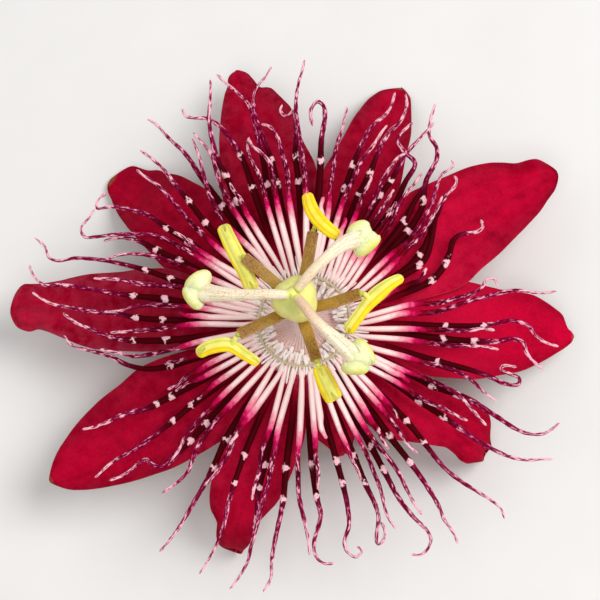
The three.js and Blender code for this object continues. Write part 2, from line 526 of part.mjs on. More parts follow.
const RING_SEGMENTS = 40;
const FILAMENT_DROOP = 0.0012; // per mm, times the square of the distance from the ring
const ARCH_RADIUS = 15; // where a filament stands highest above its droop
const ARCH_WIDTH = 5;
const FILAMENT_STEP = 8; // length of one straight stretch of a filament

/** The point at height z that is seen at a bearing and a distance from the ring's middle. */
function sighted(bearing, radius, z) {
  const back = EYE.clone().normalize();
  const right = new THREE.Vector3(0, 1, 0).cross(back).normalize();
  const top = back.clone().cross(right);
  const flat = polar(bearing, radius, 0);
  const ray = right.multiplyScalar(flat.x).addScaledVector(top, flat.y).sub(EYE);
  return EYE.clone().addScaledVector(ray, (z - EYE.z) / ray.z);
}

/** One filament: a strand that runs out from the ring, over a low arch, through its bends. */
function filament([rootBearing, ...bends], { level, arch, halfWidth, halfThickness }) {
  const height = (r) =>
    level +
    arch * Math.exp(-(((r - ARCH_RADIUS) / ARCH_WIDTH) ** 2)) -
    FILAMENT_DROOP * (r - ROOT_RADIUS) ** 2;
  const root = sighted(rootBearing, ROOT_RADIUS, level);
  const bearing = THREE.MathUtils.radToDeg(Math.atan2(root.y, root.x));
  const waypoints = [
    polar(bearing, ROOT_RADIUS, level),
    polar(bearing, ROOT_RADIUS + 0.9, level + 0.3 * arch),
    ...bends.map(([seenBearing, radius]) => sighted(seenBearing, radius, height(radius))),
  ];
  const reach = bends.at(-1)[1] - ROOT_RADIUS;
  const size = (t) => {
    const taper = 1 - 0.6 * t * t;
    return [halfWidth * taper, halfThickness * taper];
  };
  const steps = Math.ceil(reach / FILAMENT_STEP) + Math.ceil(0.7 * bends.length);
  return strand(waypoints, size, { steps });
}

const OUTER_FILAMENT = { level: OUTER_ROW_LEVEL, arch: 0.3, halfWidth: 0.8, halfThickness: 0.5 };
const INNER_FILAMENT = { level: INNER_ROW_LEVEL, arch: 1.4, halfWidth: 0.62, halfThickness: 0.45 };

function coronaOuterRow() {
  const band = turned([
    [8.45, -3.15], [9, -3.15], [9, -1.65], [10, -1.65], [10, -0.8], [8.45, -0.8],
  ], RING_SEGMENTS);
  return joined([band, ...OUTER_ROW.map((row) => filament(row, OUTER_FILAMENT))]);
}

function coronaInnerRow() {
  const band = turned([[7.9, -0.4], [9.2, -0.4], [9.2, 0.5], [7.9, 0.5]], RING_SEGMENTS);
  return joined([band, ...INNER_ROW.map((row) => filament(row, INNER_FILAMENT))]);
}

// Short blunt teeth on one ring: strips that lean in over the throat, stubs that lean out.
const TOOTH_COUNT = 44;
const TOOTH_SIZE = [0.34, 0.25];

function coronaTeeth() {
  const band = turned([[6.9, -0.5], [7.5, -0.5], [7.5, 1.4], [6.9, 1.4]], RING_SEGMENTS);
  const tooth = (bearing, from, to) =>
    strand([polar(bearing, ...from), polar(bearing, ...to)], () => TOOTH_SIZE, { steps: 1 });
  const teeth = Array.from({ length: TOOTH_COUNT }, (_, index) => {
    const bearing = (360 * index) / TOOTH_COUNT;
    const isInner = index % 2 === 0;
    return isInner
      ? tooth(bearing, [7.2, 0.1], [5.2, -0.1])
      : tooth(bearing, [7.2, 1.1], [9.6, 1.9]);
  });
  return joined([band, ...teeth]);
}

// The operculum: a thin ribbed cone that closes the throat round the column.
const OPERCULUM_OUTLINE = [[7.2, -1.5], [7.2, -0.9], [2.6, -2.3], [2.6, -2.9]];

// ---------------------------------------------------------------- column, stamens and pistil

const COLUMN_OUTLINE = [
  [0, -7.7], [2.6, -7.7], [2.2, -5], [2.2, -1.5], [1.6, 3], [1.35, 9],
  [1.6, COLUMN_TOP - 1], [1.6, COLUMN_TOP], [0, COLUMN_TOP],
];

/** The ovary: an egg, fuller below its middle. */
function ovary() {
  const bands = 10;
  const outline = Array.from({ length: bands + 1 }, (_, index) => {
    const turn = Math.PI * (index / bands - 0.5);
    const radius = OVARY_RADIUS * Math.cos(turn) * (1 - 0.06 * Math.sin(turn));
    return [index % bands ? radius : 0, OVARY_CENTRE + OVARY_HALF_HEIGHT * Math.sin(turn)];
  });
  return turnedSolid(outline, 18).translate(OVARY_LEAN, 0, 0);
}

// Each stamen's course, then the bends and the half width of the anther that its tip carries.
const STAMENS = [
  {
    course: [[0.6, 1.95, 12.1], [1.92, 6.25, 14.5], [3.2, 12.4, 15.9]],
    anther: [[2.1, 19, 16.3], [2.9, 16.1, 16.9], [4.3, 13.8, 17.3], [7.7, 11, 16.7]],
    halfWidth: 1.2,
  },
  {
    course: [[-1.4, 1.45, 12.1], [-3.31, 3.38, 13.6], [-8.6, 7.8, 15.4]],
    anther: [[-12.9, 14.4, 13.8], [-11.4, 11, 14.1], [-8.9, 5.9, 13.4], [-7.5, 2.5, 12.8]],
    halfWidth: 1.35,
  },
  {
    course: [[-1.7, -1.15, 12.1], [-3.3, -2.25, 13.5], [-10.2, -5.95, 15.2]],
    anther: [[-17.2, -8.6, 13.4], [-15.1, -7.5, 13.8], [-11.6, -7.1, 13.7], [-6.4, -10.3, 12.9]],
    halfWidth: 1.15,
  },
  {
    course: [[0.65, -1.95, 12.1], [1.87, -4.85, 14], [3.85, -11.05, 15.1]],
    anther: [[3.9, -11.7, 14], [5.1, -14, 13.4], [6.5, -16.9, 12]],
    halfWidth: 1.5,
  },
  {
    course: [[2.05, -0.4, 12.1], [5.3, -0.25, 13.6], [11.4, 1.05, 15.3]],
    anther: [[18.5, 4.3, 13.4], [16.5, 3.2, 13.8], [12.9, 0.1, 13.9], [8.7, -5.3, 13.2]],
    halfWidth: 1.2,
  },
];

const through = (bends) => bends.map((bend) => new THREE.Vector3(...bend));

/** A flat strap from under the ovary to the joint that carries the anther. */
function stamen({ course }) {
  const size = (t) => [
    THREE.MathUtils.lerp(0.85, 1.2, THREE.MathUtils.smoothstep(t, 0, 0.4)) * (1 - 0.45 * t ** 6),
    0.5,
  ];
  return strand(through(course), size, { steps: 6 });
}

/** A curved pod with blunt ends, a little flatter than it is wide. */
function anther({ anther: bends, halfWidth }) {
  const size = (t) => {
    const fullness = halfWidth * (0.25 + 0.75 * Math.pow(1 - Math.abs(2 * t - 1) ** 5, 0.6));
    return [fullness, 0.6 * fullness];
  };
  return strand(through(bends), size, { sides: 8, steps: 10 });
}

// Each style's course and the two lobes of its stigma: the middle of a lobe, the bearing that
// its outer face looks along, and its half width across that.
const STYLES = [
  {
    course: [[-1.2, -0.5, 22.35], [-3.5, -0.5, 22.7], [-7.6, -0.4, 22.2], [-13.9, 0.5, 20.2]],
    lobes: [[[-16.2, 3.2, 19.3], 124, 2.4], [[-17.1, -0.1, 19], 213, 2.1]],
  },
  {
    course: [[1.4, 0.9, 22.4], [2.8, 2.3, 22.7], [4.5, 4.2, 22.5], [9.1, 8.6, 20.8]],
    lobes: [[[11.3, 11.1, 19.4], 120, 2.1], [[12.7, 8.6, 19.1], -50, 2.6]],
  },
  {
    course: [[1.2, -1.25, 22.25], [2.5, -3, 22.7], [4, -5, 22.4], [8.85, -9.4, 20.5]],
    lobes: [[[12, -10.1, 19.3], 34, 2.4], [[10.5, -12.7, 19], -92, 2]],
  },
];
const LOBE_HALF_DEPTH = 1.9; // along the way that its face looks
const LOBE_SET_BACK = 0.6;
const LOBE_HALF_HEIGHT = 1.85;

/** A rod from the top of the ovary that arches out and thickens towards its stigma. */
function style({ course }) {
  const size = (t) => [0.68 + 0.6 * t ** 2, 0.68 + 0.5 * t ** 2];
  return strand(through(course), size, { sides: 8, steps: 8 });
}

/** Two rounded lobes that meet where the style joins them. */
function stigma({ lobes }) {
  return joined(
    lobes.map(([centre, bearing, halfWidth]) =>
      new THREE.SphereGeometry(1, 12, 8)
        .scale(LOBE_HALF_DEPTH, halfWidth, LOBE_HALF_HEIGHT)
        .translate(-LOBE_SET_BACK, 0, 0)
        .rotateZ(radians(bearing))
        .translate(...centre),
    ),
  );
}

// ---------------------------------------------------------------- the flower

function flower() {
  const group = new THREE.Group();
  group.add(
    piece("pedicel", pedicel(), MATERIALS.green),
    piece("calyx_tube", turnedSolid(CALYX_OUTLINE, 24), MATERIALS.green),
    piece("corona_outer_row", coronaOuterRow(), MATERIALS.outerCorona),
    piece("corona_inner_row", coronaInnerRow(), MATERIALS.innerCorona),
    piece("corona_teeth", coronaTeeth(), MATERIALS.pale),
    piece("operculum", turned(OPERCULUM_OUTLINE, 24), MATERIALS.throat),
    piece("androgynophore", turnedSolid(COLUMN_OUTLINE, 16), MATERIALS.pale),
    piece("ovary", ovary(), MATERIALS.ovary),
  );
  BRACT_BEARINGS.forEach((bearing, index) => {
    const geometry = sheet({ bearing, course: BRACT_COURSE, left: BRACT_EDGE, right: BRACT_EDGE });
    group.add(piece(`bract_${index + 1}`, geometry, MATERIALS.green));
  });
  group.add(...tepals("sepal", SEPALS, SEPAL_ROOT));
  group.add(...tepals("petal", PETALS, PETAL_ROOT));
  STAMENS.forEach((row, index) => {
    group.add(piece(`stamen_filament_${index + 1}`, stamen(row), MATERIALS.stamen));
    group.add(piece(`anther_${index + 1}`, anther(row), MATERIALS.anther));
  });
  STYLES.forEach((row, index) => {
    group.add(piece(`style_${index + 1}`, style(row), MATERIALS.style));
    group.add(piece(`stigma_${index + 1}`, stigma(row), MATERIALS.stigma));
  });
  group.position.set(AXIS_X, AXIS_Y, RING_HEIGHT);
  return group;
}

export default flower();
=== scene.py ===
"""A red passion flower, cut with a short stalk and lying on its back with its face up.

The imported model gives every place: the column's axis and the plane of the corona ring are read
from it, and each sub-assembly builds its surfaces round that axis. Sizes are in millimetres and
degrees; a surface becomes metres only when it is put into its mesh.
"""

import logging
import math
from dataclasses import dataclass
from enum import Enum
from typing import Any, Callable, Sequence

import bpy
import numpy as np
from mathutils import Matrix, Vector


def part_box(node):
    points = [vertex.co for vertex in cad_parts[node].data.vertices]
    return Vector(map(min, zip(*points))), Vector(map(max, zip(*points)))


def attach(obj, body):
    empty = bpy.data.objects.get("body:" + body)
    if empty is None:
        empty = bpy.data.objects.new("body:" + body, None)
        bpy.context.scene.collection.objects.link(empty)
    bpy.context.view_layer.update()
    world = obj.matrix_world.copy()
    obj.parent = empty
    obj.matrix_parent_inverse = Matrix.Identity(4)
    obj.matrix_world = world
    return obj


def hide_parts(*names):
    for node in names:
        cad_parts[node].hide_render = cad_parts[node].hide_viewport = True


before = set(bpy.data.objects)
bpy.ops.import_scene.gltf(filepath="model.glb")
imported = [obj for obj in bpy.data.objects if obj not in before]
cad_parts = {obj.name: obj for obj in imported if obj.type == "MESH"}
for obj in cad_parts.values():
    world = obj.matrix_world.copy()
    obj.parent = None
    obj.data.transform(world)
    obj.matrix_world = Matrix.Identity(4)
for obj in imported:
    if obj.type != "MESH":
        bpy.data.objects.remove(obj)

LOG = logging.getLogger("passion_flower")
BODY = "root"
MM = 0.001
SEED = 7

COLUMN_TOP = 12.5  # from the ring plane up to the top of the column
RING_RADIUS = 8.8  # where the filaments leave the corona ring
REACH_END = 52.0  # beyond the tip of the longest filament
FILAMENT_DROOP = 0.0012  # fall per square of the distance beyond the ring
EYE = (38.1, -92.0, 386.4)  # the point from which the filaments' courses are laid out

Colour = tuple[float, float, float, float]
Array = np.ndarray
Pair = tuple[float, float]
Point = tuple[float, float, float]
Stops = Sequence[Pair]
Strand = tuple[float, float | Pair, Stops]
Material = bpy.types.Material
Rng = np.random.Generator


# ---- small formulas


def srgb(red: int, green: int, blue: int) -> Colour:
    """A colour given in steps of 255, as the linear numbers that a shader takes.

    Args:
        red, green, blue: the channels, 0 to 255.

    Returns:
        The linear colour with full alpha.
    """
    share = np.array([red, green, blue]) / 255
    linear = np.where(share <= 0.04045, share / 12.92, ((share + 0.055) / 1.055) ** 2.4)
    return (float(linear[0]), float(linear[1]), float(linear[2]), 1.0)


def smoothstep(value: Array | float, low: float, high: float) -> Array:
    """Rises from 0 at low to 1 at high along the cubic 3t^2 - 2t^3."""
    t = np.clip((np.asarray(value, float) - low) / (high - low), 0, 1)
    return t * t * (3 - 2 * t)


def bell(value: Array | float, centre: float, width: float) -> Array:
    """A bump of height 1 at centre that falls as exp(-(distance / width)^2)."""
    return np.exp(-(((np.asarray(value, float) - centre) / width) ** 2))


def signed_power(value: Array, power: float) -> Array:
    """The power of the size with the sign kept, which squares off a round section."""
    return np.sign(value) * np.abs(value) ** power


def polar(bearing: Array | float, radius: Array | float, height: Array | float) -> Array:
    """Points from a bearing in degrees, a distance from the axis and a height.

    Args:
        bearing, radius, height: numbers or arrays of one shape.

    Returns:
        Points, with x, y and z on the last axis.
    """
    turn = np.radians(bearing)
    radius = np.asarray(radius, float)
    parts = np.broadcast_arrays(radius * np.cos(turn), radius * np.sin(turn), height)
    return np.stack(parts, axis=-1).astype(float)


def sighted(bearing: Array | float, radius: Array | float, height: Array | float) -> Array:
    """Points at a height that appear at a bearing and distance to an eye above the flower.

    The bearing and distance are laid out on the plane through the ring's centre that faces
    EYE. Each point is then carried along the ray from EYE until it is at its height:
    EYE + (q - EYE) * (height - EYE.z) / (q.z - EYE.z).

    Args:
        bearing, radius, height: numbers or arrays of one shape.

    Returns:
        Points, with x, y and z on the last axis.
    """
    eye = np.array(EYE)
    back = unit(eye)
    right = unit(np.cross(np.array([0.0, 1.0, 0.0]), back))
    flat = polar(bearing, radius, 0.0)
    seen = flat[..., :1] * right + flat[..., 1:2] * np.cross(back, right)
    share = (np.asarray(height, float) - eye[2]) / (seen[..., 2] - eye[2])
    return eye + (seen - eye) * share[..., None]


def seen_reach(points: Array) -> Array:
    """How far from the ring's centre points are seen to lie, on the plane that sighted uses.

    Args:
        points: the points, x, y and z on the last axis.

    Returns:
        One distance for each.
    """
    eye = np.array(EYE)
    rays = points - eye
    landing = eye - rays * ((eye @ eye) / (rays @ eye))[..., None]
    return np.linalg.norm(landing, axis=-1)


def unit(vectors: Array) -> Array:
    """Vectors of length 1 in the same directions."""
    return vectors / np.linalg.norm(vectors, axis=-1, keepdims=True)


def gathered(count: int) -> Array:
    """Places -cos(a) from 0 to 1, with a even over a quarter turn, so they crowd towards 1."""
    turn = np.cos(np.linspace(np.pi / 2, np.pi, count))
    return (turn[0] - turn) / (turn[0] - turn[-1])


def walked_along(points: Array, power: float = 1.0) -> Array:
    """The distance walked at each point, every step between neighbours raised to a power."""
    steps = np.linalg.norm(np.diff(points, axis=0), axis=1) ** power
    return np.concatenate([[0], np.cumsum(steps)])


def cubic(t: Array, start: Array, leave: Array, end: Array, arrive: Array) -> Array:
    """The cubic over t of 0 to 1 from start to end, with the slopes leave and arrive."""
    return (
        (2 * t**3 - 3 * t**2 + 1) * start
        + (t**3 - 2 * t**2 + t) * leave
        + (3 * t**2 - 2 * t**3) * end
        + (t**3 - t**2) * arrive
    )


def curve_through(waypoints: Array, count: int, places: Array | None = None) -> Array:
    """Points on a smooth curve through the waypoints, evenly spaced unless places are given.

    Between two waypoints the curve is the cubic that leaves and arrives with the centripetal
    Catmull-Rom tangents; knots are spaced by the square root of the distance.

    Args:
        waypoints: n points, n of 2 or more.
        count: how many points to return.
        places: where they lie, as shares of the length.

    Returns:
        count points, from the first waypoint to the last.
    """
    before = 2 * waypoints[0] - waypoints[1]
    after = 2 * waypoints[-1] - waypoints[-2]
    p = np.vstack([before, waypoints, after])
    gap = np.diff(walked_along(p, 0.5))[:, None]
    slope = np.diff(p, axis=0) / gap
    chord = (p[2:] - p[:-2]) / (gap[1:] + gap[:-1])
    tangent = slope[:-1] - chord + slope[1:]
    t = np.linspace(0, 1, 24, endpoint=False)[None, :, None]
    leave = (tangent[:-1] * gap[1:-1])[:, None]
    arrive = (tangent[1:] * gap[1:-1])[:, None]
    dense = cubic(t, waypoints[:-1, None], leave, waypoints[1:, None], arrive)
    dense = np.vstack([dense.reshape(-1, 3), waypoints[-1]])
    walked = walked_along(dense)
    stops = walked[-1] * (np.linspace(0, 1, count) if places is None else places)
    return np.stack([np.interp(stops, walked, dense[:, k]) for k in range(3)], axis=1)


def through_points(share: Array, stops: Stops) -> Array:
    """A smooth height over share that passes through (share, height) stops.

    Each stretch is a cubic; the slope at a stop is the harmonic mean of its neighbours' slopes,
    or level where they turn, so the height never swings past a stop.

    Args:
        share: where to read the height.
        stops: the pairs, in rising order of share.

    Returns:
        The heights, of share's shape.
    """
    at, height = np.array(list(stops), float).T
    gap, rise = np.diff(at), np.diff(height) / np.diff(at)
    product = rise[1:] * rise[:-1]
    total = rise[1:] + rise[:-1]
    turning = (product <= 0) | (total == 0)
    mean = np.where(turning, 0.0, 2 * product / np.where(turning, 1.0, total))
    slope = np.concatenate([rise[:1], mean, rise[-1:]])
    place = np.clip(np.searchsorted(at, share, side="right") - 1, 0, len(at) - 2)
    t = np.clip((share - at[place]) / gap[place], 0, 1)
    leave, arrive = gap[place] * slope[place], gap[place] * slope[place + 1]
    return cubic(t, height[place], leave, height[place + 1], arrive)


# ---- paths and surfaces


@dataclass(frozen=True)
class Path:
    """A smooth course and, at each point, the directions along it, across it and out of it."""

    centre: Array
    along: Array
    side: Array
    face: Array
    share: Array
    length: float

    @classmethod
    def of_points(cls, centre: Array, up: Array | None = None) -> "Path":
        """A path along given points: side = up x along, and face = along x side.

        Args:
            centre: the points.
            up: one direction, or one for each point; straight up if left out.

        Returns:
            The path.
        """
        upward = np.array([0.0, 0.0, 1.0]) if up is None else up
        along = unit(np.gradient(centre, axis=0))
        side = unit(np.cross(np.broadcast_to(upward, along.shape), along))
        walked = walked_along(centre)
        share = walked / walked[-1]
        return cls(centre, along, side, np.cross(along, side), share, float(walked[-1]))

    def at(self, across: Array, lift: Array, ahead: Array | float = 0.0) -> Array:
        """Points beside the path: centre + across * side + lift * face + ahead * along.

        Args:
            across, lift, ahead: arrays of one row for each point of the path.

        Returns:
            One ring of points for each point of the path.
        """
        shift = np.broadcast_to(ahead, across.shape)
        return (
            self.centre[:, None]
            + across[..., None] * self.side[:, None]
            + lift[..., None] * self.face[:, None]
            + shift[..., None] * self.along[:, None]
        )


def round_angles(sides: int) -> Array:
    """Angles once round a section, as one row."""
    return (np.arange(sides) * 2 * np.pi / sides)[None, :]


@dataclass(frozen=True)
class Grid:
    """How finely a shell is drawn: rings along it, and points round each ring."""

    rings: int
    sides: int

    def along(
        self, waypoints: Array | Sequence[Any], up: Array | None = None
    ) -> tuple[Path, Array, Array]:
        """A path through waypoints, its shares as a column and the angles round it as a row.

        Args:
            waypoints: the points that it passes.
            up: the direction that its face turns towards; straight up if left out.

        Returns:
            The path, the shares and the angles.
        """
        path = Path.of_points(curve_through(np.asarray(waypoints, float), self.rings), up)
        return path, path.share[:, None], round_angles(self.sides)

    def turned(self, profile: Stops) -> tuple[Array, Array, Array, Array]:
        """A smooth outline through (radius, height) corners, to be swept round the axis.

        Args:
            profile: the corners, from one pole to the other.

        Returns:
            The radii, the heights and the shares, as columns, and the angles as a row.
        """
        line = curve_through(np.array([(r, 0.0, z) for r, z in profile]), self.rings)
        share = np.linspace(0, 1, self.rings)[:, None]
        return np.maximum(line[:, :1], 0.0), line[:, 2:], share, round_angles(self.sides)


def tip_rounding(share: Array, blunt_start: float, blunt_end: float) -> Array:
    """A width factor that closes both ends of a rod along a quarter of an ellipse.

    Args:
        share: 0 to 1 along the rod.
        blunt_start, blunt_end: the shares that each rounded end takes up.

    Returns:
        sqrt(1 - x^2) within the ends, where x runs to 1 at the very tip, and 1 between them.
    """
    near_start = np.clip(1 - share / blunt_start, 0, 1) if blunt_start > 0 else 0 * share
    near_end = np.clip(1 - (1 - share) / blunt_end, 0, 1) if blunt_end > 0 else 0 * share
    return np.sqrt(1 - near_start**2) * np.sqrt(1 - near_end**2)


def add_object(name: str, data: Any) -> bpy.types.Object:
    """A new object that shows the data, in the scene.

    Args:
        name: the object's name.
        data: its mesh, light or camera.

    Returns:
        The object.
    """
    made = bpy.data.objects.new(name, data)
    bpy.context.scene.collection.objects.link(made)
    return made


class Surface:
    """Closed shells with named numbers at their points, gathered to become one mesh."""

    def __init__(self) -> None:
        """Starts with no points."""
        self._points: list[Array] = []
        self._faces: list[list[int]] = []
        self._fields: dict[str, list[Array]] = {}
        self._count = 0

    def _store(self, points: Array, fields: dict[str, Array]) -> int:
        """Keeps points and their numbers, and gives the index of the first one.

        Args:
            points: one row for each.
            fields: the numbers for each of them, by name.

        Returns:
            The index.
        """
        first = self._count
        self._points.append(points)
        for name, values in fields.items():
            self._fields.setdefault(name, []).append(values)
        self._count += len(points)
        return first

    def add_tube(self, rings: Array, **fields: Array | float) -> "Surface":
        """Adds a shell of rings that run round the direction of travel, closed by two poles.

        Args:
            rings: (rings, sides, 3) points.
            fields: numbers for each ring point, of a shape that spreads over (rings, sides).

        Returns:
            This surface.
        """
        count, sides = rings.shape[:2]
        poles = np.stack([rings[0].mean(0), rings[-1].mean(0)])
        values = {}
        for name, value in fields.items():
            spread = np.broadcast_to(value, (count, sides))
            ends = [spread[0].mean(), spread[-1].mean()]
            values[name] = np.concatenate([spread.reshape(-1), ends])
        first = self._store(np.vstack([rings.reshape(-1, 3), poles]), values)
        self._faces += (first + quad_grid(count, sides, wrap=False)).tolist()
        k = np.arange(sides)
        ahead = (k + 1) % sides
        start_pole = np.full(sides, count * sides)
        last = (count - 1) * sides
        caps = np.vstack([
            np.stack([start_pole, ahead, k], axis=1),
            np.stack([start_pole + 1, last + k, last + ahead], axis=1),
        ])
        self._faces += (first + caps).tolist()
        return self

    def add_hoop(self, rings: Array, **fields: Array | float) -> "Surface":
        """Adds a shell that closes both ways, such as a collar: the last ring joins the first.

        Args:
            rings: (rings, sides, 3) points.
            fields: numbers for each ring point.

        Returns:
            This surface.
        """
        count, sides = rings.shape[:2]
        values = {
            name: np.broadcast_to(value, (count, sides)).reshape(-1)
            for name, value in fields.items()
        }
        first = self._store(rings.reshape(-1, 3), values)
        self._faces += (first + quad_grid(count, sides, wrap=True)).tolist()
        return self

    def build(self, name: str) -> bpy.types.Object:
        """Makes the mesh object: points in metres on the flower's axis, nothing below the floor.

        Args:
            name: the object's name.

        Returns:
            The object, smooth shaded, with one float attribute for each field.
        """
        points = STAND.place(np.vstack(self._points))
        mesh = bpy.data.meshes.new(name)
        mesh.from_pydata(points, [], self._faces)
        mesh.polygons.foreach_set("use_smooth", np.ones(len(mesh.polygons), bool))
        for field_name, values in self._fields.items():
            layer = mesh.attributes.new(field_name, "FLOAT", "POINT")
            layer.data.foreach_set("value", np.concatenate(values).astype(np.float32))
        mesh.update()
        return add_object(name, mesh)


def quad_grid(count: int, sides: int, wrap: bool) -> Array:
    """Four corner numbers for each quad between neighbouring rings; wrap joins last to first.

    Args:
        count, sides: how many rings, and how many points in each.
        wrap: whether the last ring joins the first.

    Returns:
        One row of four corners for each quad.
    """
    bands = count if wrap else count - 1
    i, k = np.meshgrid(np.arange(bands), np.arange(sides), indexing="ij")
    ahead, beyond = (k + 1) % sides, (i + 1) % count
    corners = [i * sides + k, i * sides + ahead, beyond * sides + ahead, beyond * sides + k]
    return np.stack(corners, axis=-1).reshape(-1, 4)


@dataclass(frozen=True)
class Stand:
    """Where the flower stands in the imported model: its axis and its ring plane, in metres."""

    x: float
    y: float
    ring_height: float

    @classmethod
    def from_frame(cls) -> "Stand":
        """Reads the axis and the ring plane from the column's box."""
        low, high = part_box("androgynophore")
        return cls((low.x + high.x) / 2, (low.y + high.y) / 2, high.z - COLUMN_TOP * MM)

    @property
    def floor(self) -> float:
        """Height of the surface below the ring plane, in millimetres."""
        return -self.ring_height / MM

    def place(self, points: Array) -> Array:
        """Millimetres round the axis to metres in the frame, kept on or above the floor.

        Args:
            points: the points in millimetres.

        Returns:
            The points in metres.
        """
        placed = points * MM + np.array([self.x, self.y, self.ring_height])
        placed[:, 2] = np.maximum(placed[:, 2], 0.0)
        return placed


STAND = Stand.from_frame()


# ---- shader wiring


def math_node(operation: str, swapped: bool = False) -> Callable[..., "Wire"]:
    """A method of Wire that adds one Math node.

    Args:
        operation: the node's operation.
        swapped: whether the other value comes first.

    Returns:
        The method, which takes the other value.
    """

    def method(self: "Wire", other: "Wire | float" = 0.0) -> "Wire":
        """The operation on this wire and the other value."""
        values = {0: other, 1: self} if swapped else {0: self, 1: other}
        return self.graph.add("ShaderNodeMath", {"operation": operation}, values)

    return method


class Wire:
    """A socket of a node tree; arithmetic on it adds Math nodes.

    size drops the sign, and largest takes the larger of two.
    """

    __add__ = __radd__ = math_node("ADD")
    __sub__ = math_node("SUBTRACT")
    __rsub__ = math_node("SUBTRACT", swapped=True)
    __mul__ = __rmul__ = math_node("MULTIPLY")
    __truediv__ = math_node("DIVIDE")
    __pow__ = math_node("POWER")
    largest = math_node("MAXIMUM")
    size = math_node("ABSOLUTE")

    def __init__(self, graph: "Graph", socket: Any) -> None:
        """Keeps the graph and the socket."""
        self.graph = graph
        self.socket = socket

    def rise(self, low: "Wire | float", high: "Wire | float") -> "Wire":
        """0 below low, 1 above high, smooth between."""
        sockets = {0: self, 1: low, 2: high}
        return self.graph.add("ShaderNodeMapRange", {"interpolation_type": "SMOOTHSTEP"}, sockets)


class Graph:
    """The node tree of one material."""

    def __init__(self, name: str) -> None:
        """Makes an empty material of that name.

        Args:
            name: the material's name.
        """
        self.material = bpy.data.materials.new(name)
        self.material.use_nodes = True
        self.tree = self.material.node_tree
        self.tree.nodes.clear()

    def add(
        self,
        kind: str,
        settings: dict[str, Any] | None = None,
        sockets: dict[int | str, Any] | None = None,
        output: int | str = 0,
    ) -> Wire:
        """Adds any node: its settings first, then the values or links of its sockets.

        Args:
            kind: the node's type name.
            settings: its properties; "stops" are a colour ramp's (place, colour) pairs.
            sockets: for each socket, by index or name, a value or a wire.
            output: which output to return.

        Returns:
            The output as a wire.
        """
        node = self.tree.nodes.new(kind)
        for name, value in (settings or {}).items():
            if name == "stops":
                self._set_stops(node.color_ramp, value)
            else:
                setattr(node, name, value)
        for key, value in (sockets or {}).items():
            if isinstance(value, Wire):
                self.tree.links.new(value.socket, node.inputs[key])
            else:
                node.inputs[key].default_value = value
        return Wire(self, node.outputs[output]) if node.outputs else Wire(self, None)

    @staticmethod
    def _set_stops(ramp: Any, stops: list[tuple[float, Colour]]) -> None:
        """Gives a colour ramp these stops."""
        while len(ramp.elements) < len(stops):
            ramp.elements.new(1.0)
        for element, (place, colour) in zip(ramp.elements, stops):
            element.position = place
            element.color = colour

    def field(self, name: str) -> Wire:
        """A number stored at the surface's points."""
        return self.add("ShaderNodeAttribute", {"attribute_name": name}, output=2)

    def place(self) -> Wire:
        """Object coordinates, in metres."""
        return self.add("ShaderNodeTexCoord", output="Object")

    def vector(self, x: Wire | float, y: Wire | float, z: Wire | float) -> Wire:
        """Three numbers as a vector."""
        return self.add("ShaderNodeCombineXYZ", sockets={0: x, 1: y, 2: z})

    def noise(self, vector: Wire, scale: float, detail: float = 2.0, rough: float = 0.5) -> Wire:
        """Smooth noise, about 0.3 to 0.7: scale blotches to a unit, with detail finer layers."""
        sockets = {"Vector": vector, "Scale": scale, "Detail": detail, "Roughness": rough}
        return self.add("ShaderNodeTexNoise", sockets=sockets)

    def grain(self, scale: float, detail: float = 2.0, rough: float = 0.5) -> Wire:
        """Smooth noise fixed to the object, scale blotches to a metre."""
        return self.noise(self.place(), scale, detail, rough)

    def streaks(self, across: float, along: float) -> Wire:
        """Noise with that many blotches over the surface's across and along numbers."""
        seat = self.vector(self.field("across") * across, self.field("along") * along, 0.0)
        return self.noise(seat, 1.0, 3.0)

    def mix(self, first: Wire | Colour, second: Wire | Colour, share: Wire | float) -> Wire:
        """Colours mixed: first where share is 0, second where it is 1."""
        sockets = {0: share, 6: first, 7: second}
        return self.add("ShaderNodeMix", {"data_type": "RGBA"}, sockets, output=2)

    def ramp(self, share: Wire, stops: list[tuple[float, Colour]]) -> Wire:
        """Colours along a share from 0 to 1."""
        return self.add("ShaderNodeValToRGB", {"stops": stops}, {0: share})

    def bump(self, height: Wire, distance_mm: float, strength: float = 1.0) -> Wire:
        """A normal from a height of 0 to 1 that stands for distance_mm."""
        sockets = {"Height": height, "Distance": distance_mm * MM, "Strength": strength}
        return self.add("ShaderNodeBump", sockets=sockets)

    def finish(
        self,
        colour: Wire | Colour,
        roughness: Wire | float,
        normal: Wire | None = None,
        constants: dict[str, Any] | None = None,
    ) -> Material:
        """Ends the tree in a Principled shader.

        Args:
            colour, roughness: the surface's.
            normal: from a bump.
            constants: other sockets of the shader, each one number or colour.

        Returns:
            The material.
        """
        sockets: dict[int | str, Any] = {"Base Color": colour, "Roughness": roughness}
        if normal is not None:
            sockets["Normal"] = normal
        sockets.update(constants or {})
        shader = self.add("ShaderNodeBsdfPrincipled", sockets=sockets)
        self.add("ShaderNodeOutputMaterial", sockets={"Surface": shader})
        return self.material


# ---- finishes


def flesh(weight: float, radii: Point, depth_mm: float) -> dict[str, Any]:
    """Shader constants for light that sinks depth_mm into soft tissue, farthest in red."""
    return {
        "Subsurface Weight": weight,
        "Subsurface Radius": radii,
        "Subsurface Scale": depth_mm * MM,
    }


